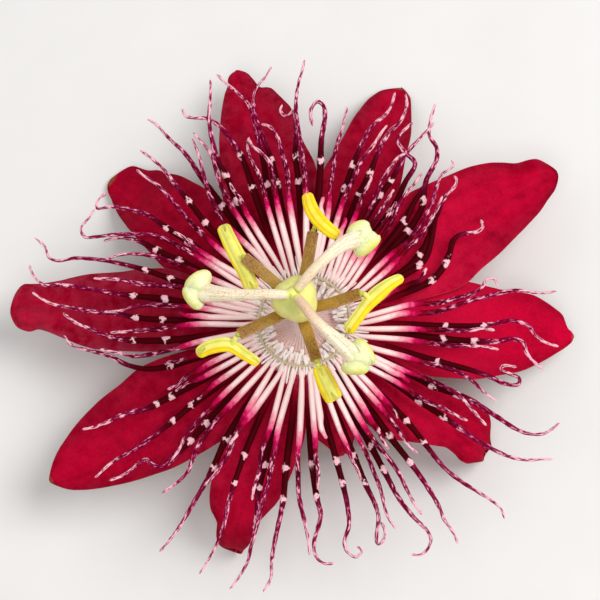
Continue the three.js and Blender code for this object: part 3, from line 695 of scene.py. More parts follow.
@dataclass(frozen=True)
class TepalFinish:
    """Velvety crimson, finely grained, with a painted glow near the ring and painted shade towards the
    curving edges; a sepal's back is greenish.
    """

    name: str = "tepal_velvet"
    deep: Colour = srgb(112, 0, 22)
    crimson: Colour = srgb(156, 0, 36)
    bright: Colour = srgb(200, 0, 48)
    glow: Colour = srgb(232, 24, 72)
    # dusty pink of the veil: partly own colour, partly painted sheen
    dusty: Colour = srgb(158, 50, 72)
    rim: Colour = srgb(150, 84, 76)
    back_green: Colour = srgb(120, 104, 62)
    horn: Colour = srgb(132, 112, 66)
    cloud_scale: float = 120.0
    mottle_scale: float = 420.0
    velvet_scale: float = 2700.0

    def material(self) -> Material:
        """Reads across (-1 to 1), along (0 to 1), under, sepal, tone, the share of the dusty veil and
        painted sheen, and horn.

        Returns:
            The material.
        """
        g = Graph(self.name)
        across, along, tone = g.field("across"), g.field("along"), g.field("tone")
        aside = across.size()
        veins = g.noise(g.vector(across * 4, along * 1.3, tone * 40), 1.0, detail=3.0)
        cloud = g.grain(self.cloud_scale, detail=4.0, rough=0.6)
        mottle = g.grain(self.mottle_scale, detail=3.0, rough=0.6)
        velvet = g.grain(self.velvet_scale, rough=0.7)
        light = cloud * 0.45 + mottle * 0.25 + veins * 0.3
        body = g.mix(self.deep, self.crimson, light.rise(0.22, 0.56))
        # Painted light: tone brightens whole tepals, and it is set higher on the tepals towards the
        # key light on the right.
        body = g.mix(body, self.bright, (light + tone * 0.45 - 0.24).rise(0.34, 0.74) * 0.9)
        # Painted shade: darker towards the edges of the outer part, where the tepal curves away from
        # the light.
        body = g.mix(body, self.deep, aside.rise(0.4, 1.0) * along.rise(0.2, 0.6) * 0.45)
        # Painted light: a pinker glow near the ring, strongest on the brighter-toned tepals, stands
        # for light shining through the tissue and its sheen.
        painted_glow_near_ring = (1 - along.rise(0.2, 0.8)) * (mottle * 0.7 + tone - 0.35).rise(0.15, 0.85)
        body = g.mix(body, self.glow, painted_glow_near_ring * 0.5)
        # Partly painted sheen: a dusty pink veil, more at the edges, that is partly the tepal's own
        # colour and partly stands for the velvet's sheen.
        near_edge = aside.rise(0.5, 0.98)
        dust_and_sheen_veil = g.field("dust") * (0.35 + near_edge * 0.5) * mottle.rise(0.3, 0.66)
        body = g.mix(body, self.dusty, dust_and_sheen_veil)
        body = g.mix(body, self.deep, velvet.rise(0.5, 0.68) * 0.18)
        body = g.mix(body, self.glow, (1 - velvet.rise(0.32, 0.5)) * 0.1)
        body = g.mix(body, self.rim, aside.rise(0.985, 1.0) * 0.5)
        back_tint = veins.rise(0.36, 0.62) * 0.6 + aside * 0.3
        back = g.mix(self.back_green, self.crimson, back_tint)
        body = g.mix(body, back, g.field("under") * g.field("sepal") * 0.85)
        body = g.mix(body, self.horn, g.field("horn"))
        normal = g.bump(velvet * 0.5 + mottle * 0.3 + veins * 0.2, 0.2, 0.6)
        constants = {
            "Sheen Weight": 0.03,
            "Sheen Roughness": 0.5,
            "Sheen Tint": srgb(255, 30, 80),
            "Specular IOR Level": 0.02,
        }
        return g.finish(body, 0.56 + velvet * 0.16, normal, constants)


class Row(Enum):
    """Which ring of the corona a filament stands in."""

    OUTER = "outer"
    INNER = "inner"


@dataclass(frozen=True)
class FilamentFinish:
    """White at the ring, then blackish crimson, then purple with pale flecks along the strand.

    Places are in millimetres: an outer filament's from the flower's axis, an inner one's from
    where its white ends.
    """

    row: Row
    white: Colour = srgb(255, 230, 226)
    blush: Colour = srgb(240, 148, 164)
    rose: Colour = srgb(236, 92, 140)
    magenta: Colour = srgb(204, 8, 84)
    coral: Colour = srgb(214, 62, 84)
    crimson: Colour = srgb(176, 14, 46)
    red: Colour = srgb(116, 0, 20)
    maroon: Colour = srgb(68, 0, 8)
    plum: Colour = srgb(112, 0, 40)
    orchid: Colour = srgb(176, 40, 104)
    lilac: Colour = srgb(214, 122, 168)
    pale: Colour = srgb(252, 196, 206)
    white_start: float = -9.6
    white_span: float = 24.0

    def material(self) -> Material:
        """Reads reach, walked, mark_1 and mark_2 (mm), around, strand and share.

        Returns:
            The material.
        """
        g = Graph(f"corona_{self.row.value}")
        share, reach, around = g.field("share"), g.field("reach"), g.field("around")
        walked, strand = g.field("walked"), g.field("strand")
        seat = g.vector(walked * 1.0, around * 1.5, strand * 60)
        dash = g.noise(seat, 1.0, detail=3.0, rough=0.6)
        patch = g.noise(g.vector(walked * 0.5, strand * 40, around * 0.4), 1.0)
        warp = g.noise(g.vector(walked * 1.3, around * 0.9, strand * 35), 1.0, detail=3.0)
        outer = self.row is Row.OUTER
        body = self._body(g, reach + (warp - 0.5) * 3.5, around)
        first = 31.0 if outer else 21.0
        distal = reach.rise(first, first + 2.5)
        boost = reach.rise(first, first + 12.0) * 0.03 + share.rise(0.74, 1.0) * 0.13
        boost = boost + (patch - 0.5) * 0.42
        flecks = (dash + boost - (1 - distal) * 0.25).rise(0.56, 0.66)
        body = g.mix(body, self.orchid, (dash + boost).rise(0.46, 0.6) * distal * 0.6)
        tint = (patch + dash * 0.5 + share.rise(0.7, 1.0) * 0.3).rise(0.68, 1.05)
        body = g.mix(body, g.mix(self.lilac, self.pale, tint), flecks * 0.9)
        if outer:
            body = g.mix(body, self.pale, self._spots(g, reach, around, warp, strand) * 0.92)
        normal = g.bump(dash, 0.12, 0.5)
        return g.finish(body, 0.5 + patch * 0.16, normal, {"Specular IOR Level": 0.03})

    def _body(self, g: Graph, reach: Wire, around: Wire) -> Wire:
        """The ground colour; the white of an inner filament has pink painted shade along its rounded
        sides.

        Args:
            g: the material's tree.
            reach, around: the places along and round the filament.

        Returns:
            The colour.
        """
        if self.row is Row.OUTER:
            stops = [
                (8.6, self.blush), (10.2, self.coral), (12.4, self.crimson), (15.5, self.red),
                (19.5, self.maroon), (30.0, self.maroon), (35.0, self.plum),
            ]
            places = [(place / REACH_END, colour) for place, colour in stops]
            return g.ramp(reach / REACH_END, places)
        stops = [
            (-9.0, self.white), (-2.6, self.white), (-0.8, self.blush), (0.4, self.rose),
            (1.5, self.magenta), (3.4, self.red), (5.6, self.maroon), (12.0, self.plum),
        ]
        past = reach - g.field("mark_1")
        start, span = self.white_start, self.white_span
        places = [((place - start) / span, colour) for place, colour in stops]
        body = g.ramp((past - start) / span, places)
        # Painted shade: pink along the rounded sides of the white part, stronger towards its end.
        edge = around.size() ** 2 * (1 - past.rise(-1.5, 0.5))
        return g.mix(body, self.blush, edge * (0.5 + past.rise(-8.0, -1.0) * 0.5))

    @staticmethod
    def _spots(g: Graph, reach: Wire, around: Wire, warp: Wire, strand: Wire) -> Wire:
        """1 within the two ragged spots of a filament, each leaning to one of its sides.

        Args:
            g: the material's tree.
            reach, around, warp, strand: the filament's numbers and the noise that frays its spots.

        Returns:
            The share of the spots' colour.
        """
        lean = (around + (strand - 0.5) * 1.6).size() * 0.22
        spots = [
            1 - ((reach - g.field(mark) + (warp - 0.5) * 2.6).size() + lean).rise(0.38, 0.7)
            for mark in ("mark_1", "mark_2")
        ]
        return spots[0].largest(spots[1])


@dataclass(frozen=True)
class WaxyFinish:
    """Smooth plant tissue: two tones in soft clouds and streaks, a third tone in specks."""

    name: str
    light: Colour
    shade: Colour
    speck: Colour
    speck_share: float = 0.0
    speck_size: float = 0.5
    roughness: float = 0.42
    streak: float = 0.3
    subsurface: float = 0.12
    cloud_scale: float = 260.0

    def material(self) -> Material:
        """Reads Object coordinates, and across and along for the streaks.

        Returns:
            The material.
        """
        g = Graph(self.name)
        cloud = g.grain(self.cloud_scale, detail=3.0)
        grain = g.grain(1 / (self.speck_size * MM))
        streaks = g.streaks(9, 1.5)
        tone = cloud * (1 - self.streak) + streaks * self.streak
        body = g.mix(self.shade, self.light, tone.rise(0.32, 0.6))
        body = g.mix(body, self.speck, grain.rise(0.56, 0.66) * self.speck_share)
        normal = g.bump(grain * 0.4 + streaks * 0.6, 0.12, 0.6)
        constants = {**flesh(self.subsurface, (0.9, 0.6, 0.4), 0.8), "Specular IOR Level": 0.4}
        return g.finish(body, self.roughness + (grain - 0.5) * 0.2, normal, constants)


THROAT = WaxyFinish(
    "throat_mauve", srgb(242, 214, 206), srgb(204, 150, 150), srgb(170, 96, 104), 0.14, 0.5,
    streak=0.6,
)
COLUMN = WaxyFinish(
    "column_white", srgb(248, 236, 226), srgb(232, 206, 192), srgb(176, 90, 84), 0.25, 0.35
)
OVARY = WaxyFinish(
    "ovary_green", srgb(244, 240, 142), srgb(214, 216, 126), srgb(190, 192, 96), 0.12, 0.4,
    roughness=0.36, streak=0.2, subsurface=0.2,
)


@dataclass(frozen=True)
class ToothFinish:
    """Off-white strips, pinker in soft clouds and streaks, with tan roots and a tan groove round the
    ring.
    """

    name: str = "corona_teeth"
    white: Colour = srgb(255, 242, 236)
    blush: Colour = srgb(244, 214, 206)
    tan: Colour = srgb(202, 184, 154)
    cloud_scale: float = 420.0

    def material(self) -> Material:
        """Reads across, along and groove.

        Returns:
            The material.
        """
        g = Graph(self.name)
        streaks = g.streaks(6, 2)
        cloud = g.grain(self.cloud_scale)
        body = g.mix(self.blush, self.white, (streaks * 0.4 + cloud * 0.6).rise(0.34, 0.58))
        body = g.mix(body, self.tan, g.field("groove"))
        return g.finish(body, 0.5, g.bump(streaks, 0.1, 0.5), flesh(0.3, (0.9, 0.6, 0.5), 0.6))


@dataclass(frozen=True)
class StyleFinish:
    """Cream with fine reddish speckles, green at the ovary, greenish where a stigma begins."""

    name: str = "style_cream"
    cream: Colour = srgb(250, 238, 210)
    warm: Colour = srgb(232, 212, 172)
    tan: Colour = srgb(222, 188, 150)
    green: Colour = srgb(224, 222, 116)
    pale_green: Colour = srgb(236, 236, 184)
    speckle: Colour = srgb(196, 112, 92)
    speckle_scale: float = 3000.0

    def material(self) -> Material:
        """Reads across, along (0 at the ovary, 1 at the stigma) and how much painted shade lies near
        the ovary.

        Returns:
            The material.
        """
        g = Graph(self.name)
        along = g.field("along")
        streaks = g.streaks(5, 5)
        speckle = g.grain(self.speckle_scale)
        body = g.mix(self.warm, self.cream, streaks.rise(0.34, 0.6))
        # Painted shade: tan near the ovary, set per style, most on style 3 and least on style 1.
        body = g.mix(body, self.tan, (1 - along.rise(0.2, 0.6)) * g.field("warmth"))
        body = g.mix(body, self.speckle, speckle.rise(0.57, 0.66) * 0.42)
        body = g.mix(body, self.pale_green, along.rise(0.8, 1.0) * 0.8)
        body = g.mix(body, self.green, 1 - along.rise(0.01, 0.07))
        normal = g.bump(speckle * 0.5 + streaks * 0.5, 0.1, 0.5)
        return g.finish(body, 0.44, normal, flesh(0.1, (0.9, 0.6, 0.4), 0.8))


@dataclass(frozen=True)
class StigmaFinish:
    """Pale green cream, finely warty, turning to yellow over the outer face of each lobe."""

    name: str = "stigma_cream"
    cream: Colour = srgb(238, 238, 186)
    green: Colour = srgb(218, 224, 146)
    yellow: Colour = srgb(234, 230, 88)
    cloud_scale: float = 420.0
    wart_scale: float = 3600.0

    def material(self) -> Material:
        """Reads rim (0 towards the style, 1 on the outer face).

        Returns:
            The material.
        """
        g = Graph(self.name)
        cloud = g.grain(self.cloud_scale, detail=3.0)
        warts = g.grain(self.wart_scale)
        body = g.mix(self.green, self.cream, cloud.rise(0.34, 0.6))
        body = g.mix(body, self.yellow, g.field("rim") * (0.45 + warts * 0.5))
        return g.finish(body, 0.5, g.bump(warts, 0.14, 0.7), flesh(0.2, (0.9, 0.7, 0.3), 1.0))


@dataclass(frozen=True)
class StamenFinish:
    """Olive tan with brown specks, pale along both edges, green at the joint."""

    name: str = "stamen_tan"
    tan: Colour = srgb(184, 144, 58)
    brown: Colour = srgb(132, 84, 26)
    dark: Colour = srgb(100, 56, 18)
    edge: Colour = srgb(206, 160, 104)
    joint: Colour = srgb(182, 194, 64)
    cloud_scale: float = 500.0
    speck_scale: float = 3300.0

    def material(self) -> Material:
        """Reads across (-1 to 1), along (0 to 1) and joint (0 to 1).

        Returns:
            The material.
        """
        g = Graph(self.name)
        across, along = g.field("across"), g.field("along")
        speck = g.grain(self.speck_scale, rough=0.7)
        cloud = g.grain(self.cloud_scale)
        outward = along.rise(0.35, 0.85)
        depth = cloud.rise(0.3, 0.7) * 0.3 + outward * 0.5
        body = g.mix(self.tan, self.brown, depth)
        body = g.mix(body, self.dark, speck.rise(0.5, 0.6) * (0.25 + outward * 0.5))
        body = g.mix(body, self.edge, across.size().rise(0.7, 1.0) * (0.35 + outward * 0.4))
        body = g.mix(body, self.joint, g.field("joint"))
        return g.finish(body, 0.5, g.bump(speck, 0.1, 0.6), {"Specular IOR Level": 0.35})


@dataclass(frozen=True)
class AntherFinish:
    """Powdery yellow on the pollen side, greener on the back, with painted shade in the furrows."""

    name: str = "anther_pollen"
    yellow: Colour = srgb(255, 226, 16)
    deep: Colour = srgb(230, 184, 12)
    back: Colour = srgb(240, 234, 116)
    back_deep: Colour = srgb(200, 200, 78)
    furrow: Colour = srgb(158, 150, 40)
    cloud_scale: float = 420.0
    powder_scale: float = 5200.0

    def material(self) -> Material:
        """Reads pollen (0 on the back, 1 on the pollen side) and furrow.

        Returns:
            The material.
        """
        g = Graph(self.name)
        powder = g.grain(self.powder_scale)
        cloud = g.grain(self.cloud_scale)
        front = g.mix(self.yellow, self.deep, cloud.rise(0.42, 0.7) * 0.5)
        back = g.mix(self.back, self.back_deep, cloud.rise(0.42, 0.72) * 0.5)
        body = g.mix(back, front, g.field("pollen"))
        # Painted shade in the furrows: dark olive on the back, deep yellow on the pollen side.
        shadow = g.mix(self.furrow, self.deep, g.field("pollen"))
        body = g.mix(body, shadow, g.field("furrow") * 0.7)
        normal = g.bump(powder, 0.1, 0.7)
        return g.finish(body, 0.6, normal, {"Sheen Weight": 0.15, "Specular IOR Level": 0.2})


@dataclass(frozen=True)
class GreenFinish:
    """Satin green with lengthwise ribs, flushed red where asked."""

    name: str = "stalk_green"
    green: Colour = srgb(120, 140, 60)
    dark: Colour = srgb(76, 98, 38)
    flush: Colour = srgb(140, 48, 46)
    spot_scale: float = 900.0

    def material(self) -> Material:
        """Reads across, along and flush.

        Returns:
            The material.
        """
        g = Graph(self.name)
        ribs = g.streaks(12, 2)
        spots = g.grain(self.spot_scale, detail=3.0)
        body = g.mix(self.dark, self.green, (ribs * 0.6 + spots * 0.4).rise(0.34, 0.62))
        body = g.mix(body, self.flush, g.field("flush") * ribs.rise(0.3, 0.6))
        normal = g.bump(ribs * 0.7 + spots * 0.3, 0.2, 0.7)
        return g.finish(body, 0.46 + spots * 0.1, normal, {"Specular IOR Level": 0.35})


@dataclass(frozen=True)
class FloorFinish:
    """Plain pale paper."""

    name: str = "pale_floor"
    tone: Colour = srgb(226, 224, 221)
    fleck: Colour = srgb(233, 231, 228)
    grain_scale: float = 60.0

    def material(self) -> Material:
        """A matt tone with the faintest grain."""
        g = Graph(self.name)
        colour = g.mix(self.tone, self.fleck, g.grain(self.grain_scale))
        return g.finish(colour, 0.9, None, {"Specular IOR Level": 0.1})


# ---- sepals and petals


def install(surface: Surface, name: str, material: Material, slot: str) -> None:
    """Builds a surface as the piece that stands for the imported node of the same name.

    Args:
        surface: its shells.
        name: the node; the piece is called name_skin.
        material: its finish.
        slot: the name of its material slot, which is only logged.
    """
    piece = surface.build(f"{name}_skin")
    piece.data.materials.append(material)
    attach(piece, BODY)
    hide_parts(name)
    LOG.info("%s: %d faces, slot %s", piece.name, len(piece.data.polygons), slot)


SEPAL_ROOT: Stops = [(9.8, -4.05), (18, -4.75), (26, -5.8)]
BENT_SEPAL_ROOT: Stops = [(9.8, -4.05), (16, -5.2), (20.8, -7.8)]
PETAL_ROOT: Stops = [(9.45, -2.75), (18, -3.4), (26, -4.5)]


@dataclass(frozen=True)
class Dent:
    """A local rise (or, below 0, a hollow) of a tepal, at a share of its length and width."""

    share: float
    across: float
    height: float
    length: float = 0.07
    width: float = 0.35

    def lift(self, share: Array, across: Array) -> Array:
        """height * exp(-(distance along / length)^2 - (distance across / width)^2)."""
        return self.height * bell(share, self.share, self.length) * bell(
            across, self.across, self.width
        )


@dataclass(frozen=True)
class Tepal:
    """One sepal or petal.

    The midrib follows course, a list of (distance from the axis, height) in the upright plane
    at a bearing that swings to tip_bearing. left and right are (share of the length, distance
    from the midrib) stops of its two edges, left being the side of the larger bearings.
    """

    node: str
    bearing: float
    tip_bearing: float
    course: Stops
    left: Stops
    right: Stops
    # tone: how bright the tepal is drawn, higher towards the key light on the right; this is painted
    # light.
    tone: float
    phase: float
    # share of the dusty pink veil, partly own colour and partly painted sheen
    dust: float = 0.4
    cup: float = 0.5
    ripple: float = 0.45
    dents: tuple[Dent, ...] = ()
    blunt: float = 0.08
    half_thickness: float = 0.22
    channel: float = 0.25
    keel: float = 0.5
    grid: Grid = Grid(150, 80)
    horn_grid: Grid = Grid(24, 12)

    @property
    def is_sepal(self) -> bool:
        """Whether it has the horn and the green back of a sepal."""
        return self.node.startswith("sepal")

    def midrib(self) -> Path:
        """The course, turned to its bearing and facing up out of the flower.

        Returns:
            The path.
        """
        share = gathered(self.grid.rings)
        flat = curve_through(
            np.array([(r, 0.0, z) for r, z in self.course]), self.grid.rings, share
        )
        turn = self.bearing + (self.tip_bearing - self.bearing) * share**2
        slope = np.gradient(flat, axis=0)
        up = polar(turn, -slope[:, 2], slope[:, 0])
        return Path.of_points(polar(turn, flat[:, 0], flat[:, 2]), up)

    def surface(self) -> Surface:
        """A flat closed tube: u = cos(turn) runs across and sin(turn) gives the thickness.

        The lift adds a cup that grows with u^2, a shallow channel along the midrib, ripples
        that grow towards the edges, and the dents; both faces share it. Under a sepal's
        midrib runs a keel.

        Returns:
            The tepal, with its horn if it is a sepal.
        """
        path = self.midrib()
        share = path.share[:, None]
        turn = round_angles(self.grid.sides)
        u = np.cos(turn) + 0 * share
        is_back = np.sin(turn) < 0
        edge = np.where(u > 0, through_points(share, self.left), through_points(share, self.right))
        edge = edge * tip_rounding(share, 0.0, self.blunt) + 0.04
        grown = smoothstep(share, 0.25, 0.75)
        cup = self.cup * u**2 * grown
        channel = -self.channel * bell(u, 0, 0.09) * (1 - share**6)
        keel = self.keel * bell(u, 0, 0.16) * (1 - share**3) * is_back * self.is_sepal
        waves = np.sin(2 * np.pi * (2.2 * share + 0.15 * np.sign(u)) + self.phase + 2.1 * u)
        fine = np.sin(2 * np.pi * 6.1 * share + 3 * u + 2 * self.phase)
        ripple = self.ripple * np.abs(u) ** 2.2 * (waves + 0.25 * fine) * grown
        dents = sum((dent.lift(share, u) for dent in self.dents), 0 * u)
        body = self.half_thickness * np.sin(turn) * (1 - 0.35 * share)
        rings = path.at(u * edge, body + cup + channel - keel + ripple + dents)
        under = smoothstep(-np.sin(turn), -0.05, 0.1) + 0 * share
        stain = 0.6 * smoothstep(share, 0.985, 1.0) * self.is_sepal
        made = Surface().add_tube(
            rings, across=u, along=share, under=under, tone=self.tone, dust=self.dust,
            sepal=float(self.is_sepal), horn=stain,
        )
        if self.is_sepal:
            self._add_horn(made, path)
        return made

    def _add_horn(self, made: Surface, path: Path) -> None:
        """Adds the horn: a tapering rod on the back of the midrib that ends below the tip.

        Args:
            made: the surface that gets it.
            path: the midrib.
        """
        first, second = np.searchsorted(path.share, [0.87, 0.95])
        points = np.array([
            path.centre[first] - 0.75 * path.face[first],
            path.centre[second] - 0.95 * path.face[second],
            path.centre[-1] - 0.4 * path.along[-1] - 0.9 * path.face[-1],
        ])
        points[:, 2] = np.maximum(points[:, 2], STAND.floor + 0.5)
        horn, share, turn = self.horn_grid.along(points)
        radius = 0.55 * (1 - 0.55 * share) * tip_rounding(share, 0.1, 0.15)
        made.add_tube(
            horn.at(radius * np.cos(turn), radius * np.sin(turn)),
            across=0.0, along=1.0, under=1.0, tone=self.tone, dust=0.0, sepal=1.0, horn=1.0,
        )


TEPALS = (
    Tepal(
        "sepal_1", 0, -0.5, [*SEPAL_ROOT, (37, -9.5), (47.9, -15)],
        left=[(0, 3.2), (0.2, 6.6), (0.45, 8.4), (0.64, 7.2), (0.78, 6.6), (0.85, 5.7), (0.9, 4.7),
            (0.94, 3.7), (0.972, 1.35), (1, 0.7)],
        right=[(0, 3.2), (0.2, 7.2), (0.33, 9.4), (0.48, 9.6), (0.66, 8.3), (0.72, 7.7), (0.79, 6.35),
            (0.85, 5), (0.9, 3.7), (0.955, 2.25), (0.99, 1.1), (1, 0.8)],
        tone=0.85, phase=0.4, dust=0.05, blunt=0.015,
    ),
    Tepal(
        "sepal_2", 70.3, 71.6, [*SEPAL_ROOT, (38, -10.5), (46.5, -16), (52.6, -19.6)],
        left=[(0, 2.8), (0.2, 5.6), (0.42, 7.3), (0.56, 6.5), (0.71, 5.9), (0.8, 5.6), (0.88, 5),
            (0.94, 4), (0.975, 3), (1, 1.4)],
        right=[(0, 2.8), (0.2, 5.6), (0.44, 7.1), (0.61, 6), (0.69, 5.6), (0.77, 4.85), (0.87, 3.65),
            (0.95, 2.6), (1, 1.6)],
        tone=0.3, phase=1.3, dust=0.25, blunt=0.05,
    ),
    Tepal(
        "sepal_3", 139.8, 139.8, [*SEPAL_ROOT, (36.5, -10), (44.5, -16), (51, -19.6)],
        left=[(0, 2.9), (0.2, 5.8), (0.41, 7.6), (0.51, 6.95), (0.6, 6.3), (0.74, 5.2), (0.83, 4.35),
            (0.9, 3.3), (0.95, 2.3), (1, 1.6)],
        right=[(0, 2.9), (0.2, 6.3), (0.45, 8.8), (0.6, 8.3), (0.73, 7.45), (0.82, 7), (0.88, 5.9),
            (0.94, 5.2), (0.97, 4.6), (1, 2.6)],
        tone=0.3, phase=2.2, dust=0.15, blunt=0.05,
    ),
    Tepal(
        "sepal_4", 211.5, 209.8, [*SEPAL_ROOT, (40, -7.4), (53.8, -8)],
        left=[(0, 3.4), (0.2, 7.4), (0.32, 9.25), (0.5, 9), (0.63, 8), (0.69, 7.3), (0.75, 6.5),
            (0.81, 5.6), (0.87, 4.6), (0.91, 3.8), (0.955, 2.8), (1, 1.4)],
        right=[(0, 3.4), (0.2, 7.6), (0.45, 10.2), (0.57, 9.3), (0.67, 8.8), (0.73, 8.2), (0.78, 7.5),
            (0.83, 6.6), (0.9, 4.8), (0.94, 3.5), (0.97, 2.6), (1, 1.4)],
        tone=0.4, phase=3.1, dust=0.15, cup=0.8,
    ),
    Tepal(
        "sepal_5", 286, 286, [*BENT_SEPAL_ROOT, (22.6, -11.5), (20.5, -17.5), (15, -19.6)],
        left=[(0, 2.6), (0.25, 4.6), (0.34, 4), (0.42, 2.6), (0.5, 1.7), (0.8, 1.4), (1, 0.8)],
        right=[(0, 2.6), (0.25, 4.8), (0.34, 4.2), (0.42, 2.8), (0.5, 1.8), (0.8, 1.4), (1, 0.8)],
        tone=0.5, phase=4.5,
    ),
    Tepal(
        "petal_1", 35.2, 32.6, [*PETAL_ROOT, (40, -7), (54.1, -10)],
        left=[(0, 3.4), (0.2, 8), (0.38, 9.8), (0.53, 9.2), (0.64, 8.7), (0.7, 8.3), (0.77, 7.3),
            (0.82, 6), (0.87, 4.65), (0.92, 4.1), (0.95, 3.7), (1, 2)],
        right=[(0, 3.4), (0.2, 7.8), (0.41, 10.3), (0.49, 9.6), (0.61, 8.6), (0.67, 7.9), (0.73, 7.15),
            (0.78, 6.5), (0.84, 5.6), (0.9, 4.15), (0.95, 3), (1, 1.8)],
        tone=0.6, phase=5.2, dust=0.15, cup=0.7, blunt=0.06,
        dents=(Dent(0.86, 0.62, -1.1, 0.05, 0.3), Dent(0.92, 0.8, 0.9, 0.04, 0.3)),
    ),
    Tepal(
        "petal_2", 104.5, 105.2, [*PETAL_ROOT, (39, -8), (53.9, -12.4)],
        left=[(0, 3.2), (0.2, 6.9), (0.4, 8.65), (0.5, 8.1), (0.59, 7.4), (0.66, 6.75), (0.76, 5.4),
            (0.82, 4.6), (0.9, 3.2), (0.95, 2.1), (1, 1.9)],
        right=[(0, 3.2), (0.2, 7.2), (0.43, 9.3), (0.59, 8.2), (0.66, 8.1), (0.72, 7.9), (0.77, 7.1),
            (0.82, 6.2), (0.855, 5.45), (0.868, 4.7), (0.877, 3.5), (0.936, 2.6), (1, 1.6)],
        tone=0.3, phase=0.9, dust=0.5, blunt=0.04,
    ),
    Tepal(
        "petal_3", 175, 174.6, [*PETAL_ROOT, (40, -6.3), (55.2, -8)],
        left=[(0, 2.9), (0.2, 5.4), (0.4, 6.2), (0.54, 6.4), (0.61, 6.4), (0.67, 6), (0.77, 4.5),
            (0.85, 3.3), (0.88, 3.05), (0.92, 3.55), (0.97, 2.95), (1, 2)],
        right=[(0, 2.9), (0.2, 7), (0.39, 9.35), (0.49, 9), (0.54, 8.45), (0.6, 8.05), (0.7, 7.4),
            (0.76, 6.85), (0.81, 6.2), (0.9, 5.45), (1, 5.1)],
        tone=0.35, phase=1.9, dust=0.9, blunt=0.05,
        dents=(Dent(0.9, 0.75, -1.0, 0.035, 0.35), Dent(0.95, 0.4, 0.8, 0.03, 0.5)),
    ),
    Tepal(
        "petal_4", 250, 249.3, [*PETAL_ROOT, (31, -5.6), (37.3, -9), (40.4, -14), (40.2, -19.6)],
        left=[(0, 3), (0.18, 6.2), (0.27, 6.75), (0.4, 6.6), (0.48, 6.4), (0.54, 5.9), (0.6, 4.8),
            (0.64, 4.05), (0.7, 3.3), (0.77, 3.1), (0.88, 1.9), (1, 1.1)],
        right=[(0, 3), (0.2, 6.2), (0.38, 7.35), (0.52, 6.7), (0.59, 6.25), (0.64, 5.7), (0.68, 5),
            (0.71, 4.1), (0.74, 3.5), (0.87, 3.2), (0.92, 2.8), (1, 1.8)],
        tone=0.55, phase=2.8, dust=0.2,
    ),
    Tepal(
        "petal_5", 323.5, 326.5, [*PETAL_ROOT, (29, -5.3), (35, -8.6), (37.6, -13.5), (37, -19.6)],
        left=[(0, 3), (0.2, 4.6), (0.39, 5.2), (0.52, 5.9), (0.62, 6.4), (0.67, 6.4), (0.71, 5.8),
            (0.76, 4.6), (0.8, 3.3), (0.86, 1.9), (0.93, 1.2), (1, 0.9)],
        right=[(0, 3), (0.2, 7), (0.35, 8.5), (0.41, 7.4), (0.51, 5.4), (0.56, 4.5), (0.62, 3.6),
            (0.67, 3.7), (0.71, 4), (0.76, 3.8), (0.8, 3.2), (0.86, 2.2), (0.93, 1.3), (1, 0.8)],
        tone=0.6, phase=3.7, dust=0.1,
    ),
)


@dataclass
class Perianth:
    """The ten tepals: five sepals behind, five petals before them."""

    finish: TepalFinish = TepalFinish()
    tepals: tuple[Tepal, ...] = TEPALS

    def build(self) -> None:
        """Makes and dresses each tepal."""
        material = self.finish.material()
        for tepal in self.tepals:
            install(tepal.surface(), tepal.node, material, "tepal")


# ---- corona


